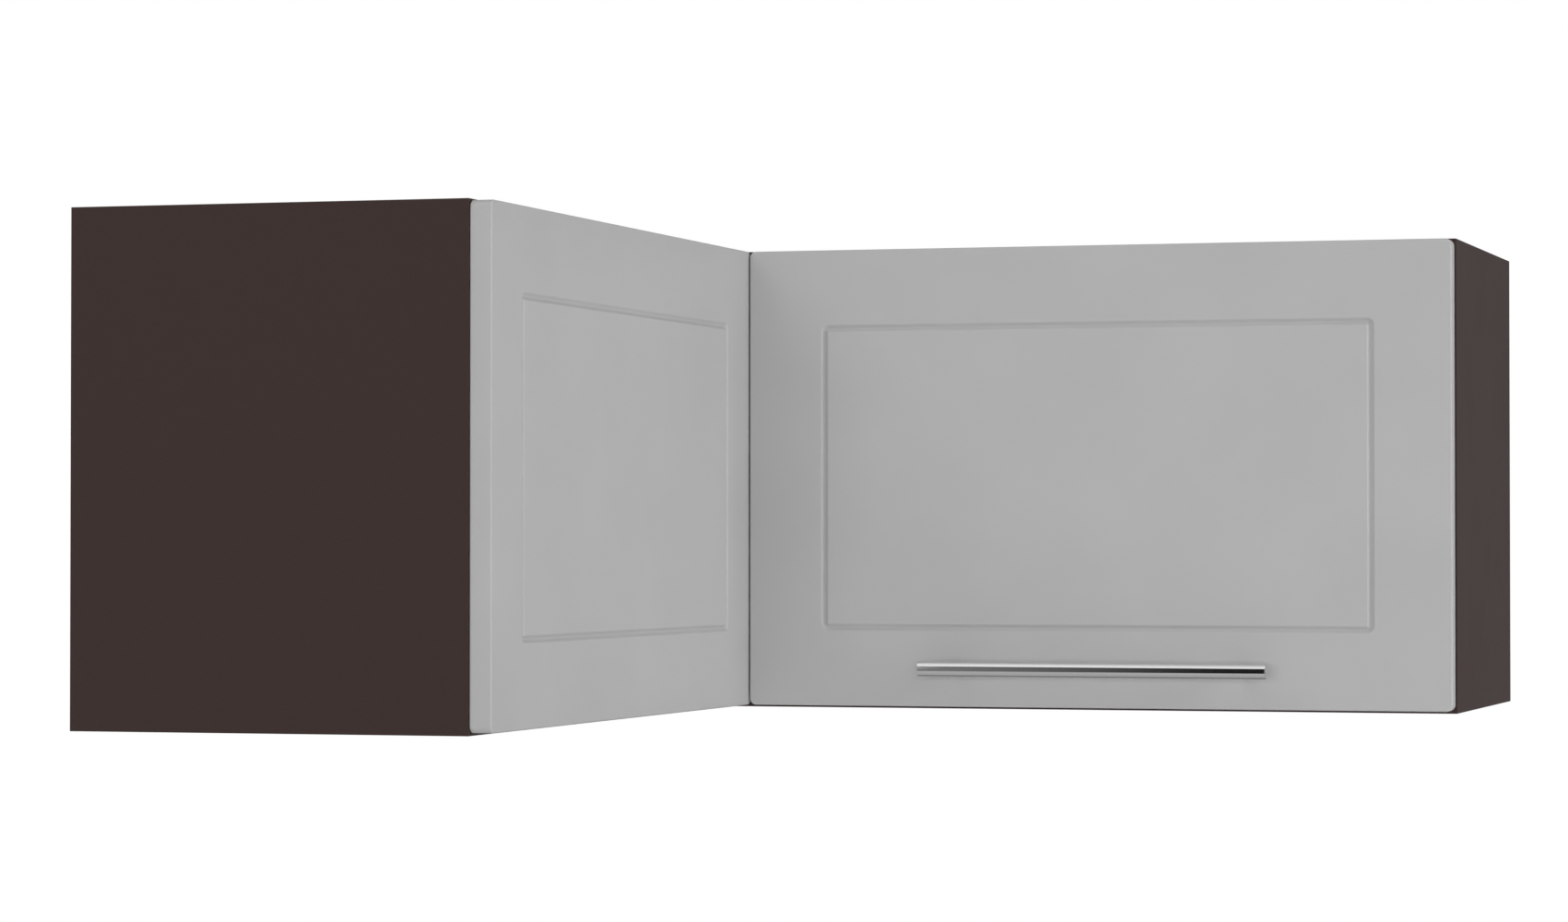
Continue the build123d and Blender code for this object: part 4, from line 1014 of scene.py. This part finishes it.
@dataclass
class Studio:
    """A white surround, a pale floor far below the hung cabinet, four soft lamps and the camera.

    Metal mirrors grey levels by direction: a ramp by height, lightened to the left and to the right,
    and one even level towards the back wall.
    """

    ambient: float = 0.31
    mirrored: tuple[Pair, ...] = (      # height from 0, straight down, to 1, straight up, and its level
        (0.0, 0.42), (0.25, 0.5), (0.28, 0.01), (0.805, 0.01), (0.85, 1.0), (0.93, 1.0), (1.0, 0.65))
    fades: tuple[tuple[str, float, float, float], ...] = (      # axis, where it is 0 and full, full level
        ("Z", -1.0, 1.0, 1.0), ("X", -0.2, -0.3, 0.36), ("X", -0.15, -0.05, 0.2), ("Y", 0.0, 0.2, 1.0))
    behind_level: float = 0.235
    floor_level: float = -1.4
    floor_size: float = 24.0
    floor_tones: tuple[str, str] = ("#E6E6E5", "#EAEAE9")
    floor_cloud_mm: float = 300.0
    floor_fade: Pair = (2.5, 8.0)       # distances over which the floor goes to white
    floor_white: Pair = (0.8, 1.0)      # share of white at those distances
    lamps: tuple[SoftLamp, ...] = (
        SoftLamp("right_softbox", (4.0, -1.0, 0.6), (2.0, 2.0), 81.0),
        SoftLamp("front_softbox", (1.4, -8.0, 0.3), (4.8, 1.6), 224.0, (0.4, -0.4, 0.1)),
        SoftLamp("high_left_softbox", (-1.4, -2.6, 2.8), (2.4, 2.4), 30.0),
        SoftLamp("rear_softbox", (-2.2, 3.0, 1.6), (2.0, 2.0), 70.0),
    )
    frame_pixels: int = 1701            # width of the photograph
    sensor_mm: float = 36.0
    farthest: float = 50.0
    focal_pixels: float = 4953.3        # solved from the photograph's perspective, as the next three are
    yaw: float = -0.29405
    pitch: float = 0.018206
    eye: Triple = (1.378228, -3.747604, 0.128362)

    def reflections(self, tree: Tree) -> Socket:
        """Work out what metal mirrors: a bright ceiling over a dark front horizon and a grey floor.

        Args:
            tree: World's nodes.

        Returns:
            The level by direction.
        """
        generated = add(tree, "ShaderNodeTexCoord").outputs["Generated"]
        way = add(tree, "ShaderNodeSeparateXYZ", {"Vector": generated})
        height, leftward, rightward, behind = [
            add(tree, "ShaderNodeMapRange", {"Value": way.outputs[axis], "From Min": start, "From Max": end,
                                             "To Max": level}).outputs["Result"]
            for axis, start, end, level in self.fades]
        stops = tuple((position, (tone, tone, tone, 1.0)) for position, tone in self.mirrored)
        ramp = add(tree, "ShaderNodeValToRGB", {"Fac": height}, stops).outputs["Color"]
        front = add(tree, "ShaderNodeMix", {"Factor": 1.0, "A": ramp, "B": rightward},
                    data_type="RGBA", blend_type="LIGHTEN").outputs["Result"]
        grey = (self.behind_level, self.behind_level, self.behind_level, 1.0)
        around = add(tree, "ShaderNodeMix", {"Factor": behind, "A": front, "B": grey},
                     data_type="RGBA").outputs["Result"]
        return add(tree, "ShaderNodeMix", {"Factor": 1.0, "A": around, "B": leftward},
                   data_type="RGBA", blend_type="LIGHTEN").outputs["Result"]

    def surround(self) -> None:
        """White to the camera, mirrored levels to metal, and an even soft light to all the rest."""
        world = bpy.data.worlds.new("studio")
        bpy.context.scene.world = world
        world.use_nodes = True
        tree = world.node_tree
        tree.nodes.clear()
        ray = add(tree, "ShaderNodeLightPath")
        plain = add(tree, "ShaderNodeBackground", {"Color": WHITE, "Strength": self.ambient})
        glossy = add(tree, "ShaderNodeBackground", {"Color": self.reflections(tree), "Strength": 1.0})
        white = add(tree, "ShaderNodeBackground", {"Color": WHITE, "Strength": 1.0})
        lit = add(tree, "ShaderNodeMixShader", {0: ray.outputs["Is Glossy Ray"], 1: plain.outputs[0],
                                                2: glossy.outputs[0]})
        seen = add(tree, "ShaderNodeMixShader", {0: ray.outputs["Is Camera Ray"], 1: lit.outputs[0],
                                                 2: white.outputs[0]})
        add(tree, "ShaderNodeOutputWorld", {"Surface": seen.outputs[0]})

    def floor(self) -> bpy.types.Object:
        """Lay the pale plaster floor: it fades to white away from the cabinet.

        It is clear from below, and metal doesn't mirror it.

        Returns:
            The floor.
        """
        half = self.floor_size / 2
        spot = (*CABINET_MIDDLE[:2], self.floor_level)
        corners = np.array([[-half, -half, 0], [half, -half, 0], [half, half, 0], [-half, half, 0]])
        piece = mesh_piece("floor", corners + spot, [[0, 1, 2, 3]])
        material = bpy.data.materials.new("pale_floor")
        material.use_nodes = True
        tree = material.node_tree
        tree.nodes.clear()
        place = add(tree, "ShaderNodeTexCoord").outputs["Object"]
        shade = blend_colours(tree, speckle(tree, place, self.floor_cloud_mm), *self.floor_tones)
        matt = add(tree, "ShaderNodeBsdfDiffuse", {"Color": shade})
        glow = add(tree, "ShaderNodeEmission", {"Color": WHITE, "Strength": 1.0})
        ray = add(tree, "ShaderNodeLightPath")
        away = add(tree, "ShaderNodeVectorMath", {0: place, 1: spot}, operation="DISTANCE")
        white = add(tree, "ShaderNodeMapRange", {
            "Value": away.outputs["Value"], "From Min": self.floor_fade[0], "From Max": self.floor_fade[1],
            "To Min": self.floor_white[0], "To Max": self.floor_white[1]}).outputs["Result"]
        share = add(tree, "ShaderNodeMath", {0: ray.outputs["Is Camera Ray"], 1: white}, operation="MULTIPLY")
        above = add(tree, "ShaderNodeMixShader", {0: share.outputs[0], 1: matt.outputs[0],
                                                  2: glow.outputs[0]})
        below = add(tree, "ShaderNodeNewGeometry").outputs["Backfacing"]
        clear = add(tree, "ShaderNodeBsdfTransparent")
        shown = add(tree, "ShaderNodeMixShader", {0: below, 1: above.outputs[0], 2: clear.outputs[0]})
        add(tree, "ShaderNodeOutputMaterial", {"Surface": shown.outputs[0]})
        piece.data.materials.append(material)
        piece.visible_glossy = False
        return piece

    def camera(self) -> bpy.types.Object:
        """Set the camera at the photograph's viewing angle: a long lens, level but for one degree.

        Returns:
            The camera.
        """
        data = bpy.data.cameras.new("camera")
        data.sensor_fit, data.sensor_width = "HORIZONTAL", self.sensor_mm
        data.lens = self.focal_pixels * self.sensor_mm / self.frame_pixels
        data.clip_end = self.farthest
        level = math.cos(self.pitch)
        ahead = Vector((math.sin(self.yaw) * level, math.cos(self.yaw) * level, math.sin(self.pitch)))
        right = Vector((math.cos(self.yaw), -math.sin(self.yaw), 0))
        turn = Matrix((right, right.cross(ahead), -ahead)).transposed()
        camera = bpy.data.objects.new("camera", data)
        camera.matrix_world = Matrix.Translation(self.eye) @ turn.to_4x4()
        bpy.context.scene.collection.objects.link(camera)
        bpy.context.scene.camera = camera
        return camera

    def build(self) -> None:
        """Set up the surround, floor, lamps, camera and view transform."""
        self.surround()
        self.floor()
        for lamp in self.lamps:
            lamp.build()
        self.camera()
        bpy.context.scene.view_settings.view_transform = "Standard"
        log.info("studio with %d lamps", len(self.lamps))


def main() -> None:
    """Build the cabinet and the studio."""
    logging.basicConfig(level=logging.INFO, format="%(name)s: %(message)s")
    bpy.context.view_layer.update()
    Cabinet().build()
    Studio().build()
    log.info("boxes written")


if __name__ == "__main__":
    main()
